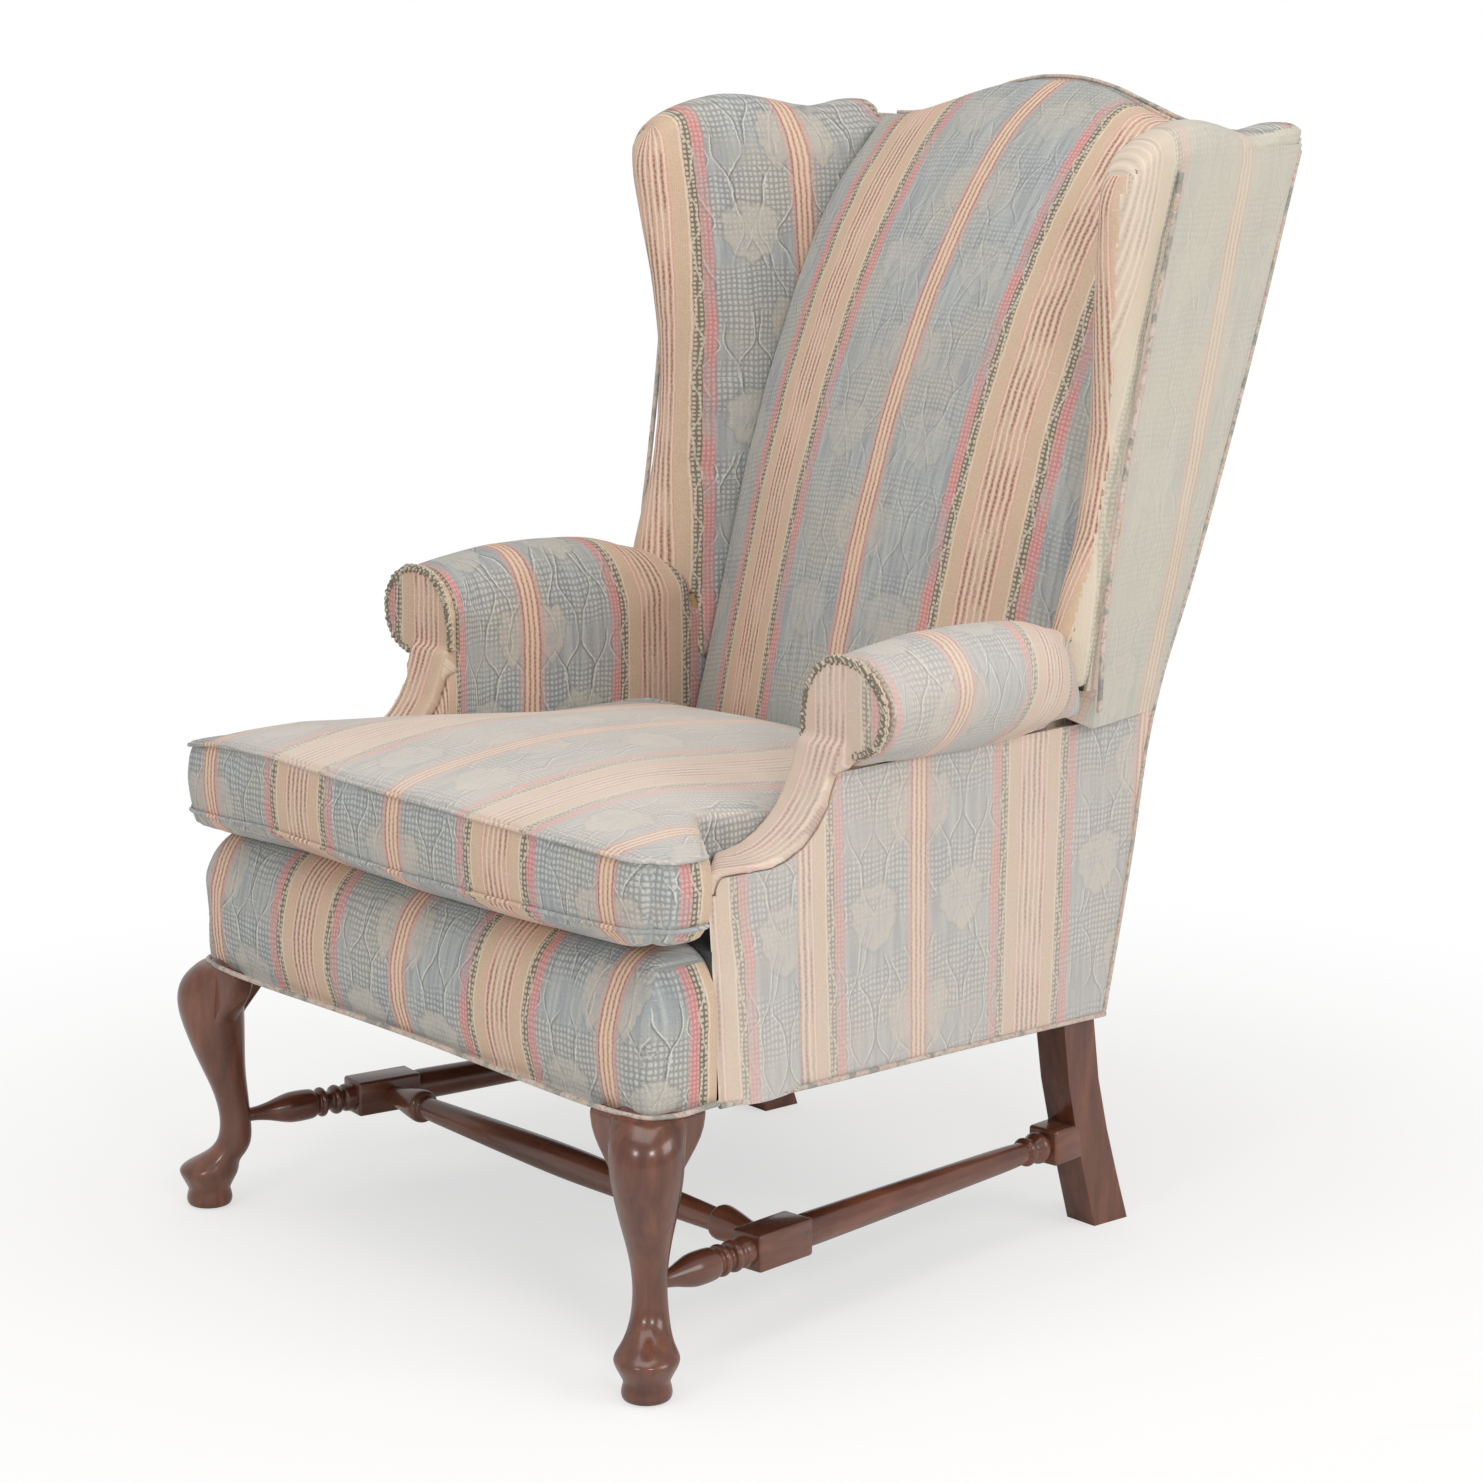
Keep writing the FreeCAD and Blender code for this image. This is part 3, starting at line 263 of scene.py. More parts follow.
foot_at = Vector((0.355, -0.406, 0.0))
outward = Vector((1.0, -1.0, 0.0)).normalized()
leg_stations = (
    (0.0, 0.019, 0.038), (0.0025, 0.0222, 0.0444), (0.007, 0.0236, 0.0472), (0.012, 0.0228, 0.0456),
    (0.0165, 0.0214, 0.0428), (0.0185, 0.0214, 0.0428), (0.022, 0.0230, 0.0460), (0.028, 0.0262, 0.0524),
    (0.033, 0.0290, 0.0580), (0.0365, 0.0300, 0.0600), (0.0385, 0.0300, 0.0606), (0.043, 0.0262, 0.0572),
    (0.049, 0.0150, 0.0480), (0.056, 0.0020, 0.0410), (0.066, -0.0086, 0.0356), (0.080, -0.0128, 0.0324),
    (0.098, -0.0128, 0.0310), (0.120, -0.0070, 0.0350), (0.140, 0.0020, 0.0420), (0.162, 0.0120, 0.0520),
    (0.185, 0.0205, 0.0610), (0.205, 0.0268, 0.0672), (0.223, 0.0280, 0.0690), (0.240, 0.0220, 0.0700),
    (0.252, 0.0080, 0.0690), (0.256, 0.0020, 0.0670), (0.258, -0.0180, 0.0480), (0.300, -0.0200, 0.0480))
bm = bmesh.new()
below = None
for height, front, width in leg_stations:
    centre = foot_at + outward * (front - width / 2) + Vector((0.0, 0.0, height))
    ring = bmesh.ops.create_circle(bm, segments=20, radius=width / 2, matrix=Matrix.Translation(centre))
    edges = list({edge for vert in ring["verts"] for edge in vert.link_edges})
    if below is None:
        bmesh.ops.contextual_create(bm, geom=edges)
    else:
        bmesh.ops.bridge_loops(bm, edges=below + edges)
    below = edges
bmesh.ops.contextual_create(bm, geom=below)
bmesh.ops.recalc_face_normals(bm, faces=bm.faces)
leg = piece_from(bm, "front_leg_shaped_right", upright_wood)
rounded(leg, 2)
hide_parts("front_leg_right")
leg_left = other_side(leg, "front_leg_shaped_left")
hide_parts("front_leg_left")


def solid_of(node, flat=None):
    """The node's solid with its corners joined, and its faces too where they meet within an angle in degrees."""
    bm = bmesh.new()
    bm.from_mesh(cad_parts[node].data)
    bmesh.ops.remove_doubles(bm, verts=bm.verts, dist=0.00002)
    if flat:
        bmesh.ops.dissolve_limit(bm, angle_limit=math.radians(flat), verts=bm.verts, edges=bm.edges)
    return bm


def sawn(node, name, material, width):
    """A sawn board with its edges eased by sandpaper."""
    board = piece_from(solid_of(node, 1.0), name, material, smooth=False)
    eased_edges(board, width)
    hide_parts(node)
    return board


for hand in ("right", "left"):
    sawn("back_post_" + hand, "back_post_sawn_" + hand, upright_wood, 0.0028)

ear_outline = (
    (0.0, 0.0), (0.050, 0.0), (0.0490, -0.009), (0.0470, -0.018), (0.0430, -0.0265), (0.0365, -0.0355),
    (0.0285, -0.0445), (0.0210, -0.0530), (0.0150, -0.0610), (0.0100, -0.0700), (0.0, -0.0700))
bm = bmesh.new()
for corner, turn, inward_turn in (
        (Vector((0.335, -0.416, 0.2558)), math.pi, 0.5 * math.pi),
        (Vector((0.362, -0.386, 0.2558)), math.radians(96.0), math.radians(186.0))):
    way = Vector((math.cos(turn), math.sin(turn), 0.0))
    inward = Vector((math.cos(inward_turn), math.sin(inward_turn), 0.0))
    verts = [bm.verts.new(corner + way * along + Vector((0.0, 0.0, drop))) for along, drop in ear_outline]
    face = bm.faces.new(verts)
    grown = bmesh.ops.extrude_face_region(bm, geom=[face])
    moved = [item for item in grown["geom"] if isinstance(item, bmesh.types.BMVert)]
    bmesh.ops.translate(bm, vec=inward * 0.026, verts=moved)
bmesh.ops.recalc_face_normals(bm, faces=bm.faces)
ears = piece_from(bm, "knee_ears_right", upright_wood, smooth=False)
eased_edges(ears, 0.006)
ears_left = other_side(ears, "knee_ears_left")
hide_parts("knee_blocks")
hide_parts("knee_blocks")


def lathe(bm, profile, place):
    """A turned length: its outline, as distance along and radius, spun round and set where it belongs."""
    before = set(bm.verts)
    verts = [bm.verts.new((along, radius, 0.0)) for along, radius in profile]
    edges = [bm.edges.new(couple) for couple in zip(verts, verts[1:])]
    bmesh.ops.spin(bm, geom=verts + edges, cent=(0, 0, 0), axis=(1, 0, 0), angle=math.tau, steps=40, use_merge=True)
    bmesh.ops.transform(bm, matrix=place, verts=[vert for vert in bm.verts if vert not in before])


def smooth_profile(points, steps=4):
    """More points on a curve through the given ones, so that a turned outline has no flats."""
    out = []
    for n in range(len(points) - 1):
        a, b, c, d = points[max(n - 1, 0)], points[n], points[n + 1], points[min(n + 2, len(points) - 1)]
        for step in range(steps):
            t = step / steps
            out.append(tuple(
                0.5 * (2 * q + (r - p) * t + (2 * p - 5 * q + 4 * r - s) * t ** 2 + (3 * q - p - 3 * r + s) * t ** 3)
                for p, q, r, s in zip(a, b, c, d)))
    out.append(points[-1])
    return out


def square_block(bm, place, at, long, side):
    cube = bmesh.ops.create_cube(bm, size=1.0)
    verts = cube["verts"]
    bmesh.ops.scale(bm, vec=(long, side, side), verts=verts)
    bmesh.ops.translate(bm, vec=(at + long / 2, 0.0, 0.0), verts=verts)
    bmesh.ops.transform(bm, matrix=place, verts=verts)
    edges = list({edge for vert in verts for edge in vert.link_edges})
    bmesh.ops.bevel(bm, geom=edges, offset=0.0032, segments=3, profile=0.5, affect="EDGES", material=-1)


stretcher_height = 0.094
ankle = Vector((0.330, -0.381, stretcher_height))
rear_end = Vector((0.256, 0.214, stretcher_height))
run = rear_end - ankle
length = run.length
block_long = 0.072
block_at = (-0.222 - ankle.y) / run.normalized().y - block_long / 2
neck = block_at - 0.008
rear_at = length - 0.046
along_side = Matrix.Translation(ankle) @ run.to_track_quat("X", "Z").to_matrix().to_4x4()
vase = [(0.000, 0.0066), (0.016, 0.0072), (0.030, 0.0096), (0.044, 0.0134), (0.056, 0.0156)] + [
    (neck + at, radius) for at, radius in (
        (-0.040, 0.0152), (-0.034, 0.0120), (-0.0315, 0.0118), (-0.030, 0.0142), (-0.0275, 0.0152),
        (-0.025, 0.0142), (-0.0235, 0.0108), (-0.020, 0.0098), (-0.0165, 0.0100), (-0.0145, 0.0136),
        (-0.011, 0.0151), (-0.0075, 0.0138), (-0.006, 0.0120), (-0.003, 0.0122), (0.0, 0.0140),
        (0.014, 0.0145))]
after_block = block_at + block_long
spindle = [(after_block + at, radius) for at, radius in (
    (-0.006, 0.0150), (0.002, 0.0156), (0.020, 0.0160), (0.120, 0.0147))] + [
    (rear_at + at, radius) for at, radius in (
        (-0.080, 0.0125), (-0.036, 0.0110), (-0.0315, 0.0110), (-0.030, 0.0132), (-0.0275, 0.0144),
        (-0.025, 0.0132), (-0.0235, 0.0112), (-0.019, 0.0108), (-0.0155, 0.0128), (-0.010, 0.0158),
        (-0.005, 0.0146), (-0.002, 0.0124), (0.006, 0.0124))]
bm = bmesh.new()
lathe(bm, smooth_profile(vase), along_side)
lathe(bm, smooth_profile(spindle), along_side)
square_block(bm, along_side, block_at, block_long, 0.036)
square_block(bm, along_side, rear_at, 0.0462, 0.036)
bmesh.ops.recalc_face_normals(bm, faces=bm.faces)
side_rod = piece_from(bm, "side_stretcher_turned_right", lengthways_wood)
side_rod.data.set_sharp_from_angle(angle=math.radians(35.0))
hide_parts("side_stretcher_right")
side_rod_left = other_side(side_rod, "side_stretcher_turned_left")
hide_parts("side_stretcher_left")

middle = ankle + run.normalized() * (block_at + block_long / 2)
end = middle.x - 0.017
half_cross = (
    (-end, 0.0090), (-end + 0.018, 0.0112), (-end + 0.036, 0.0146), (-end + 0.050, 0.0168), (-end + 0.056, 0.0166),
    (-end + 0.0585, 0.0150), (-end + 0.060, 0.0118), (-end + 0.0625, 0.0110), (-end + 0.070, 0.0114),
    (-end + 0.110, 0.0126), (-0.090, 0.0150), (0.0, 0.0164))
bm = bmesh.new()
whole_cross = list(half_cross) + [(-at, radius) for at, radius in reversed(half_cross[:-1])]
lathe(bm, smooth_profile(whole_cross), Matrix.Translation((0.0, middle.y, stretcher_height)))
bmesh.ops.recalc_face_normals(bm, faces=bm.faces)
cross_rod = piece_from(bm, "cross_stretcher_turned", crossways_wood)
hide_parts("cross_stretcher")


# Inner frame, out of sight under the cloth: raw sawn beech, sprung wire seat with its clips, jute webbing,
# burlap over the springs, dark deck cloth and the black cambric tacked under the seat.
def plain_finish(name, low, high, scale, rough, stretch=(1.0, 1.0, 1.0), metal=0.0, relief=0.2):
    material, start, shell = finish_of(name)
    place = start.node("ShaderNodeTexCoord", out="Object")
    laid = start.node("ShaderNodeMapping", None, {"Vector": place, "Scale": stretch})
    speck = start.cloud(laid, scale, 4.0, 0.6)
    feed(speck.between(0.3, 0.7).blend(low, high), shell, "Base Color")
    feed(speck * 0.2 + rough, shell, "Roughness")
    shell.inputs["Metallic"].default_value = metal
    feed(bump(speck, relief, 0.0006), shell, "Normal")
    return material


def woven_finish(name, low, high, pitch):
    """Plain weave: threads over and under each other both ways."""
    material, start, shell = finish_of(name)
    place = start.node("ShaderNodeSeparateXYZ", None, {0: start.node("ShaderNodeTexCoord", out="Object")})
    up = place.math("SINE", place * (math.tau / pitch))
    along = place.part(1) + place.part(2)
    over = (up * along.math("SINE", along * (math.tau / pitch))) * 0.5 + 0.5
    feed(over.blend(low, high), shell, "Base Color")
    shell.inputs["Roughness"].default_value = 0.9
    feed(bump(over, 0.4, 0.0005), shell, "Normal")
    return material


raw_beech = plain_finish("raw_beech", dye(176, 141, 98), dye(204, 172, 128), 14.0, 0.6, (1.0, 1.0, 5.0))
zinc = plain_finish("zinc_plated_steel", dye(150, 151, 154), dye(182, 183, 186), 60.0, 0.3, metal=1.0, relief=0.05)
jute = woven_finish("jute_webbing", dye(120, 96, 62), dye(171, 144, 102), 0.004)
burlap = woven_finish("burlap", dye(132, 108, 74), dye(184, 160, 120), 0.003)
deck_cloth = woven_finish("deck_cloth", dye(64, 68, 74), dye(92, 96, 102), 0.0022)
cambric = woven_finish("black_cambric", dye(20, 20, 21), dye(34, 34, 35), 0.002)
foam = plain_finish("foam_in_wadding", dye(214, 203, 168), dye(236, 228, 200), 90.0, 0.9)
coil_tape = woven_finish("zip_tape", dye(138, 124, 108), dye(168, 152, 134), 0.0015)
boards = [board + "_" + hand for hand in ("right", "left") for board in (
    "side_rail", "arm_stump", "arm_rail", "arm_tacking_rail", "wing_post", "wing_rail")]
inner = dict.fromkeys(boards + ["front_rail", "rear_rail", "corner_blocks", "crest_rail", "lower_back_rail"], raw_beech)
inner.update(dict.fromkeys(("corner_screws", "seat_springs", "spring_clips", "zip_slider"), zinc))
inner.update(back_webbing=jute, spring_insulator=burlap, seat_deck=deck_cloth, dust_cover=cambric,
             cushion_zip=coil_tape)
for node, material in inner.items():
    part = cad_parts[node].data
    part.materials.clear()
    part.materials.append(material)


# Cover cloth: a heavy woven stripe. Wide cream bands with broken brown-rose lines lie between dotted olive and
# rose edges, narrow peach stripes halve a slate field of dots, looped vines and pale blots; slubs cross it all.
repeat = 0.314
motif = 0.196
cream_edge, olive_edge, rose_edge = 0.0362, 0.0456, 0.0560


def striped_cloth(name, wash=0.0, wash_colour=dye(214, 210, 200), clear=1.0, painted_lit_above=None):
    """The cloth's shader on the uv layer "cloth". wash fades it towards a colour, partly as real fading and partly as
    painted light, clear sets how plain its figures are, and above a height of painted_lit_above its top is painted
    paler, unevenly, as painted light from above."""
    material, start, shell = finish_of(name)
    sheet_place = start.node("ShaderNodeUVMap", {"uv_map": "cloth"})
    u_raw = start.node("ShaderNodeSeparateXYZ", None, {0: sheet_place})
    v_raw = u_raw.part(1)

    def sheet_noise(across, along, scale=1.0, detail=2.0):
        place = start.node("ShaderNodeCombineXYZ", None, {0: u_raw * across, 1: v_raw * along, 2: 0.37 * across})
        return start.cloud(place, scale, detail, 0.55)

    u = u_raw + ((sheet_noise(9.0, 14.0) - 0.5) * 0.004 + (sheet_noise(90.0, 160.0) - 0.5) * 0.0024)
    v = v_raw + (sheet_noise(26.0, 24.0) - 0.5) * 0.012
    t = (u.math("FRACT", u / repeat) - 0.5) * repeat
    band = abs(t)
    stripe = repeat / 2 - band
    field_middle = stripe - 0.059
    aside = abs(field_middle)
    turn = v * (math.tau / motif)

    def wave(angle):
        return angle.math("SINE", angle)

    def beat(value, pitch, shift=0.0):
        angle = value * (math.tau / pitch)
        return wave(angle + shift if shift else angle)

    def line(value, half, soft):
        return abs(value).between(half + soft, half)

    # slate field: soft warp streaks and cross threads, beige where it is worn, dots in zones between the blots
    streaks = sheet_noise(190.0, 12.0, 1.0, 4.0)
    field = streaks.between(0.32, 0.68).blend(dye(152, 158, 162), dye(180, 184, 182))
    patches = sheet_noise(8.0, 9.0, 1.0, 3.0)
    field = (patches.between(0.44, 0.66) * 0.70).blend(field, dye(182, 178, 166))
    rows = beat(u, 0.0104) * beat(v, 0.0116)
    zone = (wave(turn * 2.0 + 1.9) * 0.6 + (patches - 0.5) * 3.4 + 0.30).between(-0.3, 0.4) * clear
    dots = abs(rows).between(0.46, 0.80) * zone
    grounds = abs(rows).between(0.50, 0.20) * zone
    field = covered(field, (grounds * 0.42, (116, 121, 124)), (dots * 0.62, (206, 207, 203)))

    # vines: thin pale cords with a painted shadow along one side, in loops that mirror each other about the field's
    # middle
    paths = (
        (aside, 0.0105, 0.0085, 2.0, 0.9), (aside, 0.0230, 0.0130, 1.0, 2.4), (stripe, 0.0205, 0.0110, 2.0, 4.2),
        (band, 0.0520, 0.0080, 3.0, 0.7))
    for measure, middle_at, swing, times, phase in paths:
        path = wave(turn * times + phase) * swing + wave(turn * (times + 3.0) + phase) * (swing * 0.18) + middle_at
        steep = abs(wave(turn * times + (phase + math.pi / 2))) * (swing * times * math.tau / motif * 0.8) + 0.75
        away = (measure - path) / steep
        come_and_go = sheet_noise(17.0, 21.0).between(0.36, 0.52)
        twist = beat(v + stripe, 0.0034).between(-0.9, 0.3)
        # the darker line offset to one side of each cord is a painted shadow; the pale line is the cord
        field = covered(
            field, (line(away + 0.0017, 0.0007, 0.0011) * come_and_go * (0.62 * clear), (108, 111, 110)),
            (line(away, 0.0004, 0.0008) * come_and_go * ((twist * 0.36 + 0.42) * clear), (226, 225, 218)))

    # blots: pale ragged flower heads over the vines, in the middle of the field and beside the narrow stripe
    ragged = (sheet_noise(120.0, 90.0, 1.0, 3.0) - 0.5) * 0.022

    for away, shift, wide, tall, cover_by, tint in (
            (field_middle, 0.18, 0.029, 0.031, 0.78, (193, 188, 178)),
            (stripe - 0.024, 0.70, 0.017, 0.029, 0.66, (198, 188, 176))):
        along = (v.math("FRACT", v / motif + shift) - 0.5) * motif
        flare = along * 0.22 + wide
        reach = start.math("SQRT", (away / flare) * (away / flare) + (along / tall) * (along / tall))
        scallops = wave(start.math("ARCTAN2", along, away) * 9.0) * 0.06
        outline = reach + scallops + ragged * 14.0
        uneven = sheet_noise(55.0, 70.0).between(0.34, 0.60) * 0.55 + 0.45
        field = covered(field, (line(outline - 1.04, 0.03, 0.05) * (0.35 * clear), (132, 134, 128)),
                        (outline.between(1.08, 0.90) * uneven * (cover_by * clear), tint))
    speckle = sheet_noise(260.0, 240.0, 1.0, 1.0).between(0.60, 0.70)
    field = covered(field, (speckle * 0.25, (150, 152, 148)))

    # narrow stripe: blush sides over the field, a peach core and rose-brown lines broken into dashes
    ribs = beat(u, 0.0021).between(-0.6, 0.9)
    blush_fade = sheet_noise(22.0, 10.0).between(0.25, 0.65)
    blush = stripe.between(0.0190, 0.0095) * (blush_fade * 0.45 + 0.45)
    colour = blush.blend(field, dye(208, 164, 154))
    core = stripe.between(0.0098, 0.0088)
    colour = core.blend(colour, (ribs * 0.35).blend(dye(216, 184, 158), dye(231, 204, 182)))
    dashes = beat(v, 0.0050, u * 500.0).between(-0.75, 0.25)
    patchy = sheet_noise(60.0, 20.0).between(0.30, 0.58)
    lines = beat(stripe, 0.0062, math.pi / 2)
    two = lines.between(-0.25, -0.80) * stripe.between(0.0112, 0.0104)
    pales = lines.between(0.45, 0.85) * stripe.between(0.0080, 0.0074)
    colour = covered(colour, (two * (patchy * 0.40 + 0.50) * (dashes * 0.40 + 0.60), (160, 106, 96)),
                     (pales * 0.60, (238, 214, 198)))

    # edges of the wide band: rose with pale dots outside, small olive checks with a pale thread inside
    pearls = abs(beat(u, 0.0086) * beat(v, 0.0096)).between(0.30, 0.62)
    checks = abs(beat(band - cream_edge, 0.0096) * beat(v, 0.0100)).between(0.38, 0.66)
    rose = (pearls * 0.55).blend(dye(203, 132, 130), dye(228, 190, 184))
    rose_side = band.between(rose_edge + 0.0040, rose_edge) * band.between(0.0450, 0.0460)
    rose_fade = sheet_noise(30.0, 13.0).between(0.30, 0.60)
    colour = (rose_side * (rose_fade * 0.60 + 0.35)).blend(colour, rose)
    olive = checks.blend(dye(116, 106, 90), dye(202, 190, 168))
    olive_side = band.between(olive_edge + 0.0010, olive_edge) * band.between(cream_edge, cream_edge + 0.0010)
    colour = (olive_side * 0.92).blend(colour, olive)

    # wide band: cream with a paler border line; columns of brown-rose dashes swell and fade along its middle
    cream = (ribs * 0.40).blend(dye(206, 179, 153), dye(221, 198, 176))
    pinker = sheet_noise(52.0, 12.0).between(0.35, 0.75)
    cream = (pinker * band.between(0.026, 0.018) * 0.75).blend(cream, dye(222, 178, 162))
    wide = band.between(cream_edge + 0.0010, cream_edge)
    colour = wide.blend(colour, cream)
    rhythm = beat(t, 0.0072, math.pi / 2)
    columns = rhythm.between(0.15, 0.75) * band.between(0.0182, 0.0174)
    swell = (sheet_noise(110.0, 15.0) + wave(turn * 2.0) * 0.10).between(0.36, 0.56)
    fray = beat(v, 0.0052, sheet_noise(420.0, 60.0) * 9.0).between(-0.8, 0.3)
    threads = rhythm.between(-0.50, -0.88) * band.between(0.0190, 0.0184)
    stray_path = wave(turn * 3.0 + 0.7) * 0.0040 + wave(turn * 7.0) * 0.0014 + 0.0412
    colour = covered(
        colour, (columns * (swell * 0.80 + 0.10) * (fray * 0.45 + 0.55), (146, 98, 86)),
        (threads * 0.72, (240, 217, 202)), (line(band - 0.0194, 0.0007, 0.0009) * 0.45, (214, 158, 148)),
        (line(band - 0.0350, 0.0005, 0.0006) * 0.60, (234, 218, 198)),
        (line(band - stray_path, 0.0006, 0.0007) * 0.60, (222, 212, 194)))

    # slubs: pale weft threads, a few thin warp ones, and an uneven fade over the whole cloth
    weft = sheet_noise(30.0, 620.0, 1.0, 1.0).between(0.69, 0.77)
    warp = sheet_noise(620.0, 18.0, 1.0, 1.0).between(0.72, 0.80)
    shaded = sheet_noise(340.0, 900.0).between(0.35, 0.75)
    worn_by = sheet_noise(5.0, 4.0, 1.0, 3.0)
    colour = covered(colour, (weft * 0.42, (228, 222, 210)), (warp * 0.26, (224, 216, 204)),
                     (shaded * 0.20, (118, 108, 100)), (worn_by.between(0.35, 0.75) * 0.10, (176, 164, 150)))
    # wash: a paler copy of the cloth, partly real fading and partly painted light on the lit side
    if wash:
        faded_and_painted_lit_share = worn_by.between(0.2, 0.8) * (wash * 0.4) + wash * 0.8
        colour = faded_and_painted_lit_share.blend(colour, wash_colour)
    # painted light: above this height the top is painted paler, unevenly, as light from above
    if painted_lit_above:
        place = start.node("ShaderNodeSeparateXYZ", None, {0: start.node("ShaderNodeTexCoord", out="Object")})
        height = place.part(2)
        painted_top_light = (height + worn_by * 0.02).between(painted_lit_above, painted_lit_above + 0.02)
        colour = (painted_top_light * (worn_by.between(0.25, 0.75) * 0.25 + 0.38)).blend(colour, dye(226, 216, 206))
    feed(colour, shell, "Base Color")
    grain = sheet_noise(900.0, 900.0, 1.0, 2.0)
    feed(grain * 0.12 + 0.80, shell, "Roughness")
    shell.inputs["Sheen Weight"].default_value = 0.10
    shell.inputs["Sheen Roughness"].default_value = 0.5
    shell.inputs["Specular IOR Level"].default_value = 0.22
    height = dots * 0.4 + ribs * 0.25 + weft * 0.6 + grain * 0.7 + pearls * rose_side * 0.4 + checks * olive_side * 0.5
    feed(bump(height, 0.5, 0.0007), shell, "Normal")
    return material


cover_cloth = striped_cloth("striped_cover_cloth")
back_cloth = striped_cloth("striped_cover_cloth_shaded", clear=0.55)
# The sunned copy is washed paler: partly real sun fading, partly painted light from the lamps at the chair's right
# side.
sunned_and_painted_lit_cloth = striped_cloth("striped_cover_cloth_sunned_and_painted_lit", 0.36, dye(216, 207, 199))
# The cushion's cloth has its top painted paler above the top seam, as painted light from above.
cushion_cloth = striped_cloth("striped_cover_cloth_cushion", painted_lit_above=0.492)
# The faded copy is washed paler with plainer figures: partly real fading, partly painted light on the outward faces the
# side light falls on.
faded_and_painted_lit_wing_cloth = striped_cloth("striped_cover_cloth_faded_and_painted_lit", 0.62, dye(208, 202, 186), clear=0.6)


cloth_frames = 12
cloth_rules = {
    "quality": 3, "mass": 0.3, "tension_stiffness": 12.0, "compression_stiffness": 6.0, "shear_stiffness": 5.0,
    "bending_stiffness": 0.6, "use_pressure": True}


def worked_out(made):
    """The object's shape as a new mesh, with its modifiers worked in."""
    graph = bpy.context.evaluated_depsgraph_get()
    return bpy.data.meshes.new_from_object(made.evaluated_get(graph), depsgraph=graph)


def frozen(made):
    mesh = worked_out(made)
    made.modifiers.clear()
    old = made.data
    made.data = mesh
    bpy.data.meshes.remove(old)


def corners(mesh):
    co = np.empty(len(mesh.vertices) * 3)
    mesh.vertices.foreach_get("co", co)
    return co.reshape(-1, 3)


def put_corners(mesh, co):
    mesh.vertices.foreach_set("co", co.ravel())
    mesh.update()


def stuffed(node, name, voxel, smooth, swell, cap, held=None, shape=None, trim=0.0):
    """The node's solid as a stuffed cover: evened out in voxels, softened, offset by trim and shaped, then blown up
    by swell as cloth, with the corners in held kept still and no corner moved by more than cap."""
    bm = solid_of(node)
    mesh = bpy.data.meshes.new(name)
    bm.to_mesh(mesh)
    bm.free()
    made = bpy.data.objects.new(name, mesh)
    scene.collection.objects.link(made)
    even = made.modifiers.new("even", "REMESH")
    even.mode = "VOXEL"
    even.voxel_size = voxel
    frozen(made)
    bm = bmesh.new()
    bm.from_mesh(made.data)
    for step in range(smooth):
        bmesh.ops.smooth_vert(bm, verts=bm.verts, factor=0.5, use_axis_x=True, use_axis_y=True, use_axis_z=True)
    bm.to_mesh(made.data)
    bm.free()
    co = corners(made.data)
    if trim:
        normals = np.empty(len(made.data.vertices) * 3)
        made.data.vertices.foreach_get("normal", normals)
        co = co - normals.reshape(-1, 3) * trim
        put_corners(made.data, co)
    if shape:
        co = shape(co)
        put_corners(made.data, co)
    if swell:
        group = made.vertex_groups.new(name="held")
        if held is not None:
            group.add([int(n) for n in np.nonzero(held(co))[0]], 1.0, "REPLACE")
        cloth = made.modifiers.new("cover", "CLOTH")
        rules = cloth.settings
        for rule, value in cloth_rules.items():
            setattr(rules, rule, value)
        rules.uniform_pressure_force = swell
        rules.effector_weights.gravity = 0.0
        if held is not None:
            rules.vertex_group_mass = "held"
        cloth.collision_settings.use_collision = False
        cloth.point_cache.frame_start = 1
        cloth.point_cache.frame_end = cloth_frames
        for step in range(1, cloth_frames + 1):
            scene.frame_set(step)
        frozen(made)
        moved = corners(made.data)
        scene.frame_set(1)
        shift = moved - co
        far = np.linalg.norm(shift, axis=1)
        shift *= np.minimum(1.0, cap / np.maximum(far, 1e-9))[:, None]
        put_corners(made.data, co + shift)
    made.data.shade_smooth()
    return made


def face_corners(mesh):
    """Where each corner of each face is, which way each face looks, and how many corners it has."""
    at = np.empty(len(mesh.loops), dtype=np.int32)
    mesh.loops.foreach_get("vertex_index", at)
    facing = np.empty(len(mesh.polygons) * 3)
    mesh.polygons.foreach_get("normal", facing)
    totals = np.empty(len(mesh.polygons), dtype=np.int32)
    mesh.polygons.foreach_get("loop_total", totals)
    return corners(mesh)[at], facing.reshape(-1, 3), totals


def lay_cloth(made, pattern, material):
    """Gives every corner of every face its place on the roll of cloth, from where it is and which way it faces."""
    mesh = made.data
    places, facing, totals = face_corners(mesh)
    u, v = pattern(places, np.repeat(facing, totals, axis=0))
    layer = mesh.uv_layers.get("cloth") or mesh.uv_layers.new(name="cloth")
    layer.data.foreach_set("uv", np.column_stack([u, v]).ravel())
    mesh.materials.clear()
    mesh.materials.append(material)


def dress(made, nodes, pattern, material, body="chair"):
    lay_cloth(made, pattern, material)
    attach(made, body)
    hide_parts(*nodes)


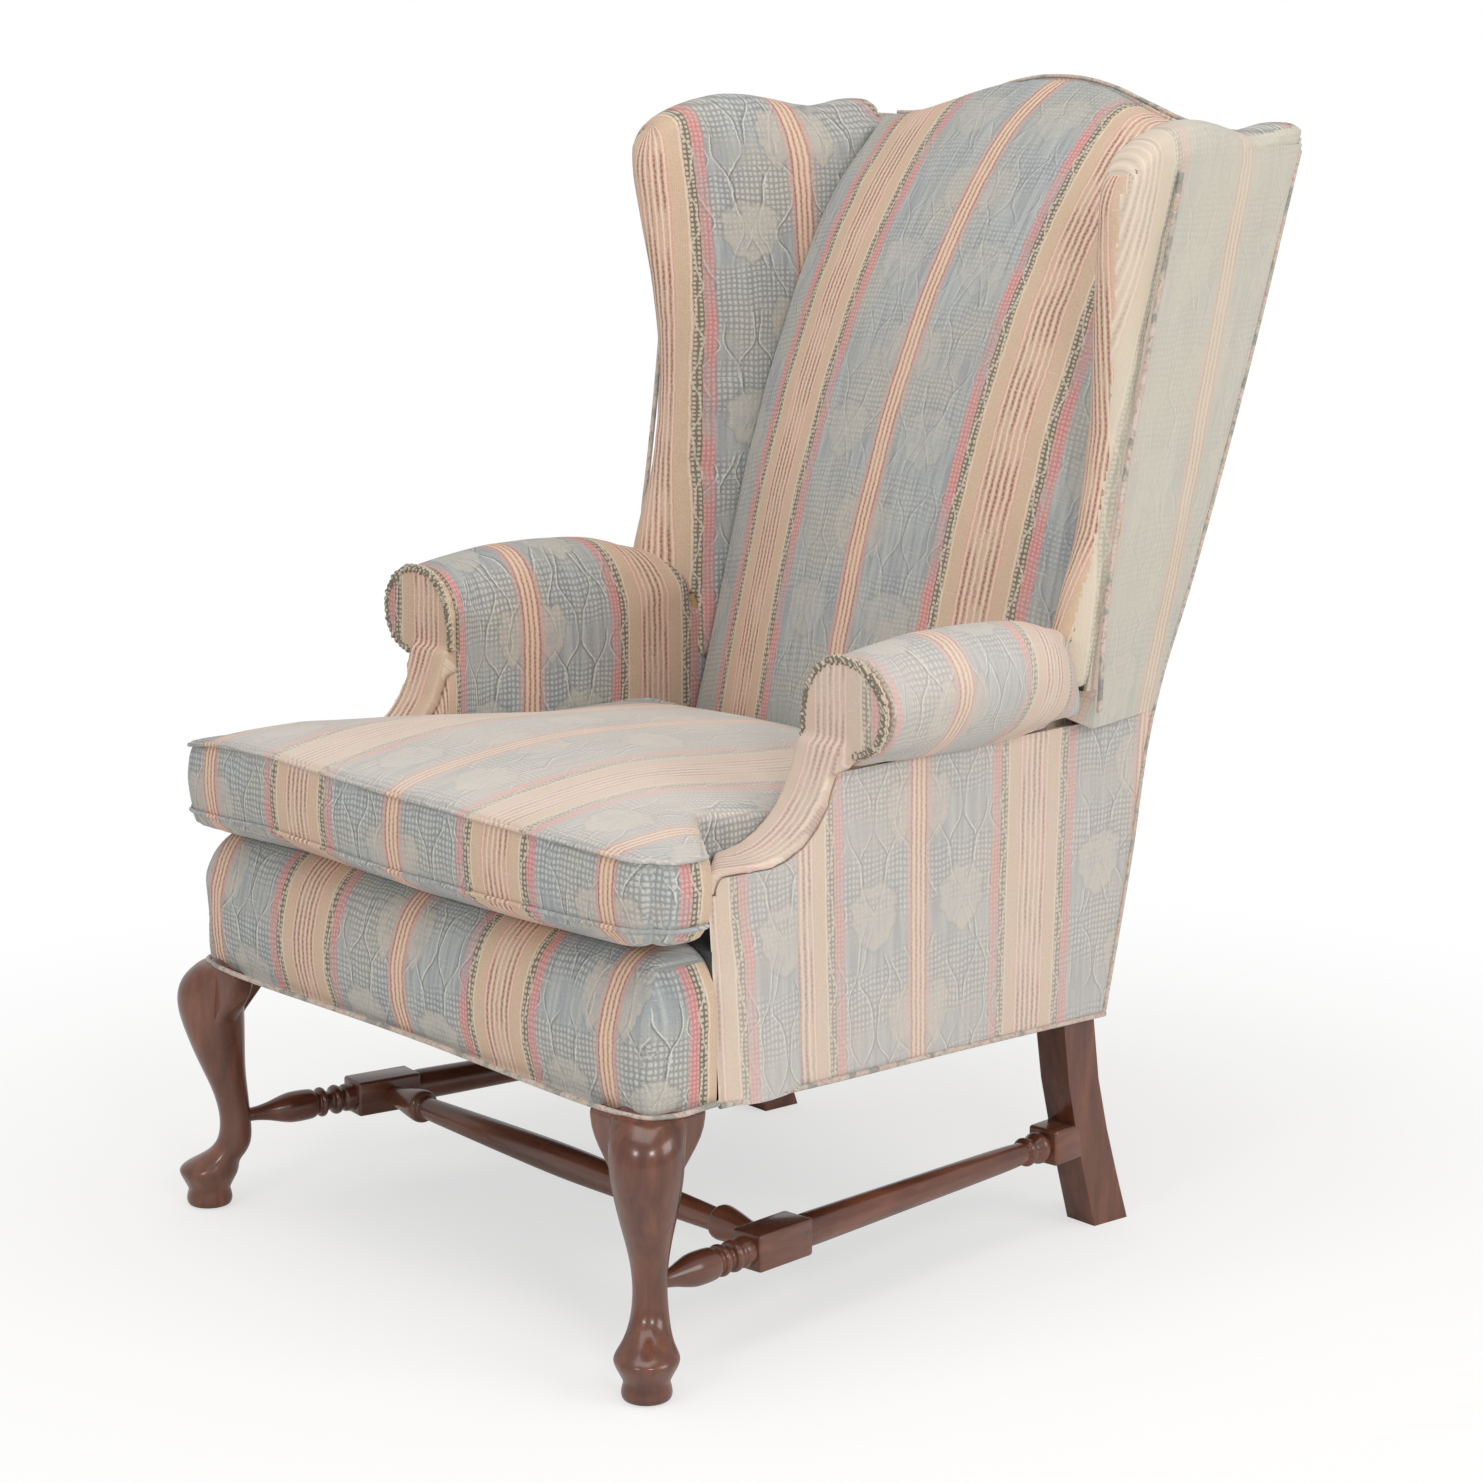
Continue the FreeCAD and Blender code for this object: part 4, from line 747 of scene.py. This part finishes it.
def lay_over(made, chosen, pattern, material):
    """Lays a second cloth on the faces picked by where they are and which way they face."""
    mesh = made.data
    places, facing, totals = face_corners(mesh)
    middles = np.empty(len(mesh.polygons) * 3)
    mesh.polygons.foreach_get("center", middles)
    picked = chosen(middles.reshape(-1, 3), facing)
    over = np.repeat(picked, totals)
    u, v = pattern(places, np.repeat(facing, totals, axis=0))
    laid = np.empty(len(mesh.loops) * 2)
    layer = mesh.uv_layers["cloth"]
    layer.data.foreach_get("uv", laid)
    layer.data.foreach_set("uv", np.where(over[:, None], np.column_stack([u, v]), laid.reshape(-1, 2)).ravel())
    mesh.materials.append(material)
    mesh.polygons.foreach_set("material_index", picked.astype(np.int32) * (len(mesh.materials) - 1))
    mesh.update()


def stuffed_pair(node, name, pattern, material, twin_material, fill, *how):
    """A stuffed cover and its twin on the chair's other side, cut from the cloth at the same places."""
    made = stuffed(node + "_right", name + "_right", *how)
    dress(made, [node + "_right"], pattern, material)
    twin = piece_from(flipped(made), name + "_left", twin_material)
    lay_cloth(twin, pattern, twin_material)
    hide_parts(node + "_left")
    return made, twin


# Inside back: one thick cover of cloth over cotton on webbing, drawn in along its sides, that rolls over the
# camel crest and is tacked behind it.
def back_pattern(co, facing):
    return co[:, 0] - 0.004, (co[:, 2] - 0.4) * 0.92 + co[:, 1] * 0.6


def behind_back(co):
    return (co[:, 1] > np.interp(co[:, 2], [0.225, 0.525, 1.06, 1.12], [0.222, 0.268, 0.428, 0.446]) - 0.03) | (
        np.abs(co[:, 0]) > 0.245)


back = stuffed("inside_back", "inside_back_stuffed", 0.006, 6, 3.0, 0.010, behind_back)
dress(back, ["inside_back"], back_pattern, back_cloth)


# Wings: a stuffed inside of cloth over cotton, with a soft roll at its front, tacked to the wing posts. The cloth
#  of its outer face, and of the right wing's top, is as faded as the flat outside that is sewn to it along a welt, and
#  painted paler as painted light from the lit side.
wing_heights = [0.527, 0.600, 0.660, 0.714, 0.810, 0.911, 1.010, 1.105]
wing_fronts = [0.104, 0.117, 0.134, 0.151, 0.163, 0.157, 0.147, 0.147]
wing_middles = [0.316, 0.318, 0.319, 0.320, 0.323, 0.331, 0.346, 0.356]
wing_roll = 0.025


def wing_pattern(co, facing):
    """The stripe follows the inner face forward, then goes round the rolled edge by the length of cloth used."""
    x = np.abs(co[:, 0])
    hub_y = np.interp(co[:, 2], wing_heights, wing_fronts) + wing_roll
    hub_x = np.interp(co[:, 2], wing_heights, wing_middles)
    round_by = np.clip(np.arctan2(hub_y - co[:, 1], hub_x - x), 0.0, math.pi)
    past_front = (co[:, 1] < hub_y) | ((x > hub_x + 0.012) & (co[:, 1] < hub_y + 0.03))
    face_y = np.where(past_front, hub_y - wing_roll * round_by, co[:, 1])
    face_y = np.where(past_front & (co[:, 1] >= hub_y), hub_y - wing_roll * math.pi - (co[:, 1] - hub_y), face_y)
    sway = np.interp(co[:, 2], [0.60, 0.86], [-0.020, 0.0])
    return face_y - 0.3057 - sway, co[:, 2] - 0.5


def wing_outside_pattern(co, facing):
    return co[:, 1] - 0.3343 + 0.159 * (1.0646 - co[:, 2]), co[:, 2] - 0.5


def wing_rear(co):
    return co[:, 1] > np.interp(co[:, 2], [0.525, 1.06, 1.12], [0.268, 0.428, 0.446]) - 0.02


def wing_foot_tucked(co):
    """The wing's lower end goes on down inside the arm."""
    foot = np.clip((0.572 - co[:, 2]) / 0.025, 0.0, 1.0)
    outer = np.clip((np.abs(co[:, 0]) - 0.290) / 0.012, 0.0, 1.0)
    co[:, 2] += foot * (0.016 * outer - 0.022 * (1.0 - outer))
    co[:, 0] -= np.sign(co[:, 0]) * 0.028 * foot * outer
    return co


# Picks the faces painted paler as painted light: outward faces, and the top of the right wing only.
def wing_back(middles, facing):
    front = np.interp(middles[:, 2], wing_heights, wing_fronts)
    outward = facing[:, 0] * np.sign(middles[:, 0])
    return (outward > 0.50) & (middles[:, 1] > front + 0.006) | (facing[:, 2] > 0.5) & (middles[:, 0] > 0.33)


# Each wing's outer face takes the faded cloth that is also painted paler as painted light.
for wing in stuffed_pair("inside_wing", "inside_wing_stuffed", wing_pattern, cover_cloth, cover_cloth, 0.7,
                         0.0045, 7, 2.5, 0.006, wing_rear, wing_foot_tucked):
    lay_over(wing, wing_back, wing_outside_pattern, faded_and_painted_lit_wing_cloth)


# Arms: cloth over cotton, pulled from the deck up the inside, over the roll, and nailed under its outer edge. A
# padded strip in a band of the cloth's cream closes each front.
def arm_pattern(co, facing):
    out = np.where(co[:, 0] > 0, 1.0, -1.0)
    x = co[:, 0] * out
    turn = np.arctan2(co[:, 2] - 0.585, 0.330 - x)
    turn = np.where(turn < -1.2, turn + math.tau, turn)
    inner_side = np.clip(turn, 0.0, None)
    along = np.where((co[:, 2] < 0.585) & (x < 0.330), co[:, 2], 0.585 + 0.052 * inner_side)
    pull = np.interp(inner_side, [0.0, 1.2, 2.8, 4.0], [0.95, 1.05, 1.35, 1.35])
    y = co[:, 1] + 0.0557
    return np.where(y > 0, y * pull, np.where(y < -0.06, y * 1.9 + 0.054, y)), along - 0.4


def arm_held(co):
    return (co[:, 1] > 0.112) | (co[:, 1] < -0.138) | (co[:, 2] < 0.41)


def arm_end_tucked(co):
    """The roll's rear end goes on a little inside the wing, so that no gap opens at the joint."""
    inner_half = np.clip((0.338 - np.abs(co[:, 0])) / 0.025, 0.0, 1.0)
    co[:, 1] += 0.034 * np.clip((co[:, 1] - 0.095) / 0.03, 0.0, 1.0) * (co[:, 2] > 0.50) * inner_half
    return co


# The right inside arm takes the paler cloth as painted light on the lit side; the left keeps the plain cloth.
stuffed_pair("inside_arm", "inside_arm_stuffed", arm_pattern, sunned_and_painted_lit_cloth, cover_cloth, 0.7,
             0.0045, 7, 2.5, 0.006, arm_held, arm_end_tucked)


def front_strip_pattern(co, facing):
    x = np.abs(co[:, 0])
    return repeat / 2 + (x - 0.312) * 0.85, co[:, 2] + co[:, 1] * 0.8


# The right front strip takes the paler cloth as painted light; the left, in shade, keeps the plain cloth.
stuffed_pair("arm_front", "arm_front_padded", front_strip_pattern, sunned_and_painted_lit_cloth, cover_cloth, 0.6, 0.003, 4, 0.0, 0.003)


# Flat covers: outside arms, outside wings and outside back are single cloth pulled over the open frame and
# sewn or tacked round their edges. The outside arm swells over a padded column at its front.
def pulled(node, name, pattern, material, cuts=(), shape=None):
    """The node as a thin panel with softened edges, cut along the given planes before it is shaped."""
    bm = solid_of(node, 0.6)
    bmesh.ops.triangulate(bm, faces=bm.faces)
    for point, normal in cuts:
        bmesh.ops.bisect_plane(bm, geom=list(bm.verts) + list(bm.edges) + list(bm.faces), plane_co=point,
                               plane_no=normal, dist=0.00001)
    made = piece_from(bm, name, material, smooth=False)
    if shape:
        put_corners(made.data, shape(corners(made.data)))
    lay_cloth(made, pattern, material)
    eased_edges(made, 0.0012)
    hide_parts(node)
    return made


def outside_arm_pattern(co, facing):
    front = facing[:, 1] < -0.5
    u = np.where(co[:, 1] < -0.2139, co[:, 1] + 0.176, co[:, 1] + 0.0557)
    u = np.where(front, (np.abs(co[:, 0]) - 0.357) * 1.25 - 0.1475, u)
    return u, co[:, 2] - 0.322


def column(co):
    """The cover swells over the padded post at its front and sinks into a crease behind it."""
    over = np.clip((co[:, 1] + 0.3235) / 0.1095, 0.0, 1.0)
    swell = 0.0065 * np.sin(math.pi * over) ** 0.6 - 0.0015 * (np.abs(co[:, 1] + 0.2138) < 0.004)
    swell *= np.clip((0.425 - co[:, 2]) / 0.05, 0.0, 1.0)
    low = np.clip((0.275 - co[:, 2]) / 0.020, 0.0, 1.0)
    co[:, 2] -= 0.004 * np.sin(math.pi * over) * low
    co[:, 0] += np.sign(co[:, 0]) * swell
    return co


def cuts_at(depths, heights):
    """Planes that cut a panel at these depths and heights."""
    return [((0.0, y, 0.0), (0.0, 1.0, 0.0)) for y in depths] + [((0.0, 0.0, z), (0.0, 0.0, 1.0)) for z in heights]


column_cuts = cuts_at(
    (-0.3215, -0.318, -0.312, -0.302, -0.289, -0.275, -0.261, -0.246, -0.234, -0.225, -0.218, -0.214, -0.2136, -0.210),
    (0.26, 0.275, 0.30, 0.33, 0.36, 0.375, 0.39, 0.40, 0.41, 0.425))


def outside_back_pattern(co, facing):
    return co[:, 0], co[:, 2] + 0.2


def panel_corner(co):
    """The wing panel's lower front corner is turned in behind the arm's roll."""
    turned = np.clip((0.566 - co[:, 2]) / 0.012, 0.0, 1.0) * np.clip((0.156 - co[:, 1]) / 0.016, 0.0, 1.0)
    co[:, 0] -= np.sign(co[:, 0]) * 0.026 * turned
    co[:, 2] += 0.010 * turned
    return co


corner_cuts = cuts_at((0.140, 0.148, 0.156), (0.554, 0.560, 0.566))
# Outside arms are in the sun-faded cloth painted paler as painted light, outside wings in the faded cloth painted paler
# still.
for board, *how in (("outside_arm", outside_arm_pattern, sunned_and_painted_lit_cloth, column_cuts, column),
                    ("outside_wing", wing_outside_pattern, faded_and_painted_lit_wing_cloth, corner_cuts, panel_corner)):
    for hand in ("_right", "_left"):
        pulled(board + hand, board + "_pulled" + hand, *how)
# The outside back is in the same sun-faded cloth painted paler as painted light.
pulled("outside_back", "outside_back_pulled", outside_back_pattern, sunned_and_painted_lit_cloth)


# Front border: cloth over wadding across the front rail, under the cushion, its top edge and corners rounded.
def border_pattern(co, facing):
    side = np.abs(facing[:, 0]) > 0.75
    u = np.where(side, np.where(co[:, 0] > 0, 1.0, -1.0) * 0.357 + (co[:, 1] + 0.406) * np.sign(co[:, 0]), co[:, 0])
    return u + 0.0094, co[:, 2] + np.where(facing[:, 2] > 0.7, co[:, 1] + 0.39, 0.0)


def border_rounded(co):
    """Wadding rounds the top edge over towards the deck, and lifts it a little behind."""
    rise = np.clip((co[:, 2] - 0.335) / 0.055, 0.0, 1.0)
    ahead = np.clip((-0.352 - co[:, 1]) / 0.054, 0.0, 1.0)
    aside = np.clip((np.abs(co[:, 0]) - 0.305) / 0.052, 0.0, 1.0)
    co[:, 2] += rise * (0.008 - 0.020 * np.maximum(ahead, aside) ** 2.2)
    co[:, 1] += 0.012 * rise ** 2 * ahead
    co[:, 2] -= 0.0045 * np.clip((0.268 - co[:, 2]) / 0.010, 0.0, 1.0)
    co[:, 0] -= 0.010 * np.sign(co[:, 0]) * rise ** 2 * aside
    return co


border = stuffed("front_border", "front_border_padded", 0.0045, 5, 2.5, 0.006,
                 lambda co: (co[:, 1] > -0.335) | (co[:, 2] < 0.262), border_rounded)
dress(border, ["front_border"], border_pattern, cover_cloth)


# Loose cushion: a T-shaped box cushion whose front ears wrap round the arms, foam in wadding inside a cover
# with two welted seams, crowned top and a zip across the back.
seam_low = 0.4003
seam_top = 0.4723


def cushion_pattern(co, facing):
    front = facing[:, 1] < -0.6
    side = np.abs(facing[:, 0]) > 0.6
    edge = np.sign(co[:, 0])
    u = np.where(side, edge * 0.39 + edge * (co[:, 1] + 0.43), co[:, 0])
    v = np.where(front | side, co[:, 2] - 0.47, co[:, 1] + 0.43)
    return u - 0.012, v


def seam_lifts(co):
    """How far towards the front a place is, and how much the top and low seams are raised there."""
    ahead = np.clip((-0.10 - co[:, 1]) / 0.27, 0.0, 1.0)
    ahead = ahead * ahead * (3.0 - 2.0 * ahead)
    across = [-0.39, -0.31, -0.20, 0.0, 0.15, 0.30, 0.39]
    top_lift = ahead * np.interp(co[:, 0], across, [0.003, 0.016, 0.022, 0.019, 0.019, 0.020, 0.020])
    low_lift = ahead * np.interp(co[:, 0], across, [0.013, 0.015, 0.021, 0.018, 0.021, 0.026, 0.031])
    return ahead, top_lift, low_lift


def settled(co):
    """The cushion as it lies: its front rides up on the border, its ears are rounded, its underside rolls out."""
    ahead, top_lift, low_lift = seam_lifts(co)
    crown = np.clip((co[:, 2] - seam_top) / 0.030, 0.0, 1.0)
    boxing = np.clip((co[:, 2] - seam_low) / (seam_top - seam_low), 0.0, 1.0)
    below = np.clip((seam_low - co[:, 2]) / 0.007, 0.0, 1.0)
    front = np.clip((-0.36 - co[:, 1]) / 0.04, 0.0, 1.0)
    co[:, 1] -= 0.005 * np.sin(math.pi * below * 0.7) * front
    co[:, 2] += low_lift + (top_lift - low_lift) * boxing - 0.008 * below * ahead - ahead * 0.009 * crown * crown
    corner = 0.046
    dx = np.clip((np.abs(co[:, 0]) - (0.3915 - corner)) / corner, 0.0, 1.0)
    dy = np.clip((-(0.428 - corner) - co[:, 1]) / corner, 0.0, 1.0)
    pull = np.maximum(dx, dy) / np.maximum(np.hypot(dx, dy), 1e-6) - 1.0
    co[:, 0] += np.sign(co[:, 0]) * dx * pull * corner
    co[:, 1] -= dy * pull * corner
    co[:, 0] += np.where(co[:, 0] < -0.20, (-0.20 - co[:, 0]) * 0.09 * ahead, 0.0)
    return co


def cushion_seams(co):
    ahead, top_lift, low_lift = seam_lifts(co)
    return (np.abs(co[:, 2] - seam_top - top_lift) < 0.004) | (np.abs(co[:, 2] - seam_low - low_lift) < 0.0045)


core = stuffed("cushion_core", "cushion_core_foam", 0.010, 3, 0.0, 0.0, None, settled, trim=0.004)
core.data.materials.clear()
core.data.materials.append(foam)
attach(core, "cushion")
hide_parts("cushion_core")
cushion = stuffed("cushion_core", "cushion_cover_sewn", 0.006, 3, 3.5, 0.012, cushion_seams, settled, -0.0036)
dress(cushion, ["cushion_cover"], cushion_pattern, cushion_cloth, body="cushion")


# Welts: thin cord sewn into a bias strip of the same cloth along every seam edge, speckled by the stripes it
#  crosses.
def welt_finish():
    material, start, shell = finish_of("speckled_welt")
    place = start.node("ShaderNodeTexCoord", out="Object")
    bits = start.cloud(place, 62.0, 1.0, 0.5)
    crossed = ramp_of(bits, (
        (0.36, dye(152, 149, 142)), (0.44, dye(178, 172, 163)), (0.50, dye(198, 184, 168)),
        (0.57, dye(190, 164, 155)), (0.64, dye(200, 186, 176))), "EASE")
    flecks = start.cloud(place, 300.0, 1.0, 0.5).between(0.58, 0.66)
    feed((flecks * 0.45).blend(crossed, dye(112, 108, 98)), shell, "Base Color")
    shell.inputs["Roughness"].default_value = 0.85
    feed(bump(start.cloud(place, 700.0, 1.0, 0.5), 0.4, 0.0004), shell, "Normal")
    return material


speckled = welt_finish()


def welt(name, points, body="chair", radius=0.0026, closed=False, pattern=None, cloth=None):
    """A round cord laid smoothly through the points, in speckled bias or in the cloth with its stripes carried on."""
    curve = bpy.data.curves.new(name, "CURVE")
    curve.dimensions = "3D"
    curve.bevel_depth = radius
    curve.bevel_resolution = 3
    curve.use_fill_caps = True
    spline = curve.splines.new("BEZIER")
    spline.bezier_points.add(len(points) - 1)
    for knot, point in zip(spline.bezier_points, points):
        knot.co = point
        knot.handle_left_type = "AUTO"
        knot.handle_right_type = "AUTO"
    spline.use_cyclic_u = closed
    spline.resolution_u = 8
    holder = bpy.data.objects.new(name, curve)
    scene.collection.objects.link(holder)
    mesh = worked_out(holder)
    bpy.data.objects.remove(holder)
    mesh.materials.clear()
    mesh.materials.append(speckled)
    mesh.shade_smooth()
    made = bpy.data.objects.new(name, mesh)
    scene.collection.objects.link(made)
    if pattern:
        lay_cloth(made, pattern, cloth)
    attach(made, body)
    return made


def both_sides(name, points, **rest):
    welt(name + "_right", points, **rest)
    welt(name + "_left", [(-x, y, z) for x, y, z in points], **rest)


def across_middle(middle, right):
    """The points of a seam that is the same on both sides of its middle."""
    return [(-x, y, z) for x, y, z in reversed(right)] + [middle] + right


def cushion_line(height):
    right = [(0.0, -0.4275), (0.195, -0.426), (0.370, -0.4225), (0.3865, -0.417), (0.3912, -0.402), (0.3905, -0.366),
             (0.330, -0.325), (0.2755, -0.287), (0.2685, -0.272), (0.2675, -0.080), (0.2685, 0.078), (0.262, 0.0915),
             (0.250, 0.0945), (0.0, 0.0955)]
    left = [(-x, y) for x, y in right[-2:0:-1]]
    ring = right + left + right[:1]
    steps = [(a, b, max(1, round(math.dist(a, b) / 0.009))) for a, b in zip(ring, ring[1:])]
    placed = np.array([(a[0] + (b[0] - a[0]) * n / count, a[1] + (b[1] - a[1]) * n / count, height)
                       for a, b, count in steps for n in range(count)])
    return [tuple(point) for point in settled(placed)]


def seam_pattern(co, facing):
    return co[:, 0] - 0.012, co[:, 1] * 0.7 + co[:, 2]


for seam, height in (("top", seam_top), ("low", seam_low)):
    cord = welt("cushion_welt_" + seam, cushion_line(height), "cushion", 0.0022, True, seam_pattern, cushion_cloth)
    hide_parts("cushion_welts")

both_sides("base_welt_side", [
    (0.3585, -0.3245, 0.2545), (0.3400, -0.1800, 0.2455), (0.3180, 0.0, 0.2375), (0.2905, 0.2225, 0.2255)])
welt("base_welt_front", across_middle((0.0, -0.4075, 0.2570), [
    (0.3430, -0.4065, 0.2570), (0.3590, -0.3920, 0.2572), (0.3585, -0.3265, 0.2575)]))
wing_edge = [
    (0.3475, 0.150, 0.545), (0.3490, 0.155, 0.640), (0.3500, 0.167, 0.720), (0.3530, 0.180, 0.800),
    (0.3580, 0.190, 0.860), (0.3655, 0.198, 0.930), (0.3720, 0.209, 1.000), (0.3730, 0.219, 1.050)]
both_sides("wing_welt", wing_edge)


def gathers_pattern(co, facing):
    """The strip shows the band's cream edge in front and its olive checks behind."""
    return repeat / 2 + 0.0358 - (co[:, 1] + 0.1535) * 1.6, (co[:, 0] + co[:, 2]) * 0.8


def gathered_ring(name, outline, depth_y):
    """The gathered strip round the arm's scroll: a soft tube with small pleats square to its length."""
    knots = np.array(outline)
    lengths = np.concatenate([[0.0], np.cumsum(np.linalg.norm(np.diff(knots, axis=0), axis=1))])
    steps = 120
    sides = 10
    bm = bmesh.new()
    rings = []
    for step in range(steps):
        at = lengths[-1] * step / (steps - 1)
        place, ahead, before = (
            np.array([np.interp(at + off, lengths, knots[:, axis]) for axis in (0, 1)]) for off in (0.0, 0.004, -0.004))
        along = (ahead - before) / np.linalg.norm(ahead - before)
        outward_x, outward_z = along[1], -along[0]
        thick = 0.0045 + 0.0008 * math.sin(at * math.tau / 0.0066) + 0.0005 * math.sin(at * 700.0)
        ring = []
        for side in range(sides):
            turn = math.tau * side / sides
            out = thick * math.cos(turn)
            ring.append(bm.verts.new((
                place[0] + outward_x * out, depth_y + 0.9 * thick * math.sin(turn), place[1] + outward_z * out)))
        rings.append(ring)
    for low, high in zip(rings, rings[1:]):
        for n in range(sides):
            bm.faces.new((low[n], low[(n + 1) % sides], high[(n + 1) % sides], high[n]))
    bm.faces.new(rings[0])
    bm.faces.new(rings[-1])
    bmesh.ops.recalc_face_normals(bm, faces=bm.faces)
    ring = piece_from(bm, name, cover_cloth)
    lay_cloth(ring, gathers_pattern, cover_cloth)
    return ring


scroll = [
    (0.2735, 0.552), (0.2740, 0.575), (0.2790, 0.598), (0.2900, 0.6150), (0.3060, 0.6265), (0.3260, 0.6300),
    (0.3480, 0.6275), (0.3680, 0.6160), (0.3790, 0.6010), (0.3825, 0.5870), (0.3800, 0.5700), (0.3710, 0.5560),
    (0.3560, 0.5475), (0.3420, 0.5440)]
ring_right = gathered_ring("scroll_gathers_right", scroll, -0.1535)
other_side(ring_right, "scroll_gathers_left")

crest_edge = [
    (0.0600, 0.4320, 1.1140), (0.1220, 0.4310, 1.0970), (0.1780, 0.4305, 1.0810), (0.2260, 0.4302, 1.0745),
    (0.2500, 0.4300, 1.0735)]
welt("crest_welt", across_middle((0.0, 0.4325, 1.1195), crest_edge), radius=0.0022)
both_sides("back_edge_welt", [
    (0.2905, 0.2215, 0.2270), (0.2980, 0.2450, 0.3750), (0.3050, 0.2670, 0.5270), (0.3150, 0.3080, 0.6600),
    (0.3250, 0.3670, 0.8550), (0.3300, 0.4270, 1.0600)], radius=0.0022)
